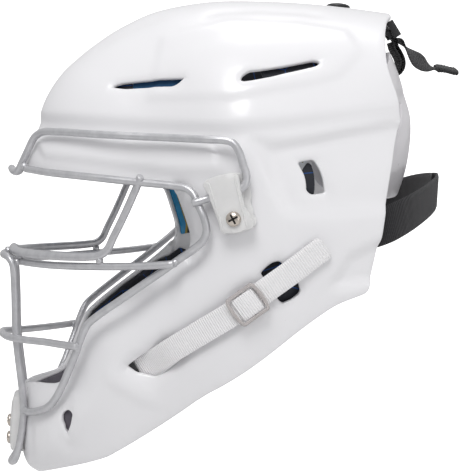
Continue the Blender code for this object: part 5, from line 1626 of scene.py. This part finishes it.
piece("top_strap_tail", v, f, M_WEB, "top_buckle", "webbing_black", (), angle=70, uv=uv)
ends = catmull([(146.5, 117.9), (149, 118.2), (153, 117.6), (157, 116.6), (161, 116.0)], step=1.0)
tw = 0.25 + 0 * ends[:, 0]
across = np.stack([0 * tw, np.cos(tw), np.sin(tw)], 1)
v, f, uv = band([(x, 0, z) for x, z in ends], across, WEB_W, 3.4, ribs=(2.3, 0.35), round_ends=2.0)
piece("tail_fold", v, f, M_WEB, "top_buckle", "webbing_black", (), angle=70, uv=uv)
LOCK = np.array((112.6, 0.0, 144.2))
ld = np.array([0.53, 0, -0.85])
ldn = np.array([0.85, 0, 0.53])
blocks = [box(LOCK + ldn * 0.6 + np.array([0, s * 12.0, 0]), ld, (0, 1, 0), (6.0, 1.4, 2.4)) for s in (-1, 1)]
bars = [box(LOCK + ld * d + ldn * h, ld, (0, 1, 0), (1.1, 12.4, t))
        for d, h, t in ((-4.9, 0, 1.7), (0.1, 1.4, 1.4), (4.9, 0.4, 1.6))]
lock = piece("ladder_lock", *blocks[0], M_BLACK_NYLON_AND_RECESS_SHADE, "top_buckle", "trim_black", ("top_strap_buckle",))
for q in bars + [blocks[1]]:
    boolean(lock, q, "UNION")
rounded(lock, 0.7)
bake(lock)
smooth_shade(lock, 50)

# ------------------------------------------------------------------ rear strap
NECK = [(70, -98.2, 6), (78, -97.6, 8), (87, -96.6, 10.5), (97, -93, 14), (112, -80, 20),
        (128, -56, 26.5), (140, -28, 31), (145, -6, 32.5), (145.2, 3, 32.6), (144.6, 10, 32.4)]
NECK2 = [(x, -y, z) for x, y, z in NECK[:6]] + [(137.6, 28, 31), (141.4, 8, 32.4), (142, -3, 32.6),
                                              (141.8, -9, 32.4)]
for side, run, sgn in (("left", NECK, -1), ("right", NECK2, 1)):
    nk = catmull(run, step=1.3)
    across = np.tile([0.06, 0, 1.0], (len(nk), 1))
    v, f, uv = band(nk, across, NECK_W, NECK_T, cols=20, ribs=(1.5, 0.1))
    ob = piece(f"{side}_rear_elastic", v, f, M_BLACK, None, "elastic_black", (), angle=70, uv=uv)
    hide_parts(f"{side}_rear_strap")
    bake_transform(ob)
    for where, dz in (("lower", -6.0), ("upper", 6.0)):
        c = SHELL.at(74.0, 7.0 + dz)
        n = SHELL.normal(c[None])[0]
        rv = turned([(0, -10.6), (3.6, -10.6), (4.0, -11.0), (4.0, -12.2), (3.4, -12.8), (0, -13.0)], c, n, 28)
        piece(f"{side}_{where}_rivet", *(rv if sgn < 0 else mirror_y(rv)), M_SCREW, "shell", "fastener_steel",
              (f"{side}_{where}_rear_rivet",), angle=30)
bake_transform(loop_ob)

# ------------------------------------------------------------------ stage
fv = [(-3, -3, -0.62), (3, -3, -0.62), (3, 3, -0.62), (-3, 3, -0.62)]
fm = bpy.data.meshes.new("floor")
fm.from_pydata(fv, [], [(0, 1, 2, 3)])
floor = bpy.data.objects.new("floor", fm)
bpy.context.scene.collection.objects.link(floor)
M_FLOOR = material("floor_pale", (0.80, 0.80, 0.80), 0.9)
nt, nd, ln, b_ = nodes_of(M_FLOOR)
b_.inputs["Emission Color"].default_value = (1, 1, 1, 1)
ln.new(nd.new("ShaderNodeLightPath").outputs["Is Camera Ray"], b_.inputs["Emission Strength"])
fm.materials.append(M_FLOOR)

world = bpy.data.worlds.new("studio")
bpy.context.scene.world = world
world.use_nodes = True
wn, wl = world.node_tree.nodes, world.node_tree.links
bg = wn["Background"]
tc = wn.new("ShaderNodeTexCoord")
sep = wn.new("ShaderNodeSeparateXYZ")
wl.new(tc.outputs["Generated"], sep.inputs[0])
mr = wn.new("ShaderNodeMapRange")
mr.inputs[1].default_value = -1.0
mr.inputs[2].default_value = 1.0
wl.new(sep.outputs[2], mr.inputs[0])
cr = wn.new("ShaderNodeValToRGB")
el = cr.color_ramp.elements
el[0].position, el[0].color = 0.30, (0.42, 0.42, 0.44, 1)
el[1].position, el[1].color = 0.60, (0.90, 0.90, 0.91, 1)
wl.new(mr.outputs[0], cr.inputs["Fac"])
lp_ = wn.new("ShaderNodeLightPath")
mx = wn.new("ShaderNodeMix")
mx.data_type = "RGBA"
wl.new(lp_.outputs["Is Camera Ray"], mx.inputs[0])
wl.new(cr.outputs["Color"], mx.inputs[6])
mx.inputs[7].default_value = (2.4, 2.4, 2.4, 1)
wl.new(mx.outputs[2], bg.inputs["Color"])
bg.inputs["Strength"].default_value = 0.64


def area(name, loc, target, size, power):
    li = bpy.data.lights.new(name, "AREA")
    li.shape = "DISK"
    li.size = size
    li.energy = power
    ob = bpy.data.objects.new(name, li)
    ob.location = Vector(loc)
    ob.rotation_euler = (Vector(target) - Vector(loc)).to_track_quat("-Z", "Y").to_euler()
    bpy.context.scene.collection.objects.link(ob)
    return ob


mid = Vector(place((0, 0, 0)))
area("key", mid + Vector((-0.4, -1.2, 1.4)), mid, 0.9, 15.6)
area("fill", mid + Vector((1.1, -1.4, 0.2)), mid, 1.3, 3.5)
area("top", mid + Vector((0.1, 0.3, 1.6)), mid, 1.0, 5.5)

AZ, EL = math.radians(-6.0), math.radians(2.9)
back = Vector((math.sin(AZ) * math.cos(EL), -math.cos(AZ) * math.cos(EL), math.sin(EL)))
cam_data = bpy.data.cameras.new("camera")
cam_data.sensor_width = 36.0
cam_data.lens = 1500.0 * 36.0 / 473.0
cam = bpy.data.objects.new("camera", cam_data)
cam.location = mid + back * 1.05
cam.rotation_euler = (-back).to_track_quat("-Z", "Y").to_euler()
bpy.context.scene.collection.objects.link(cam)
bpy.context.scene.camera = cam
bpy.context.scene.view_settings.view_transform = "Standard"
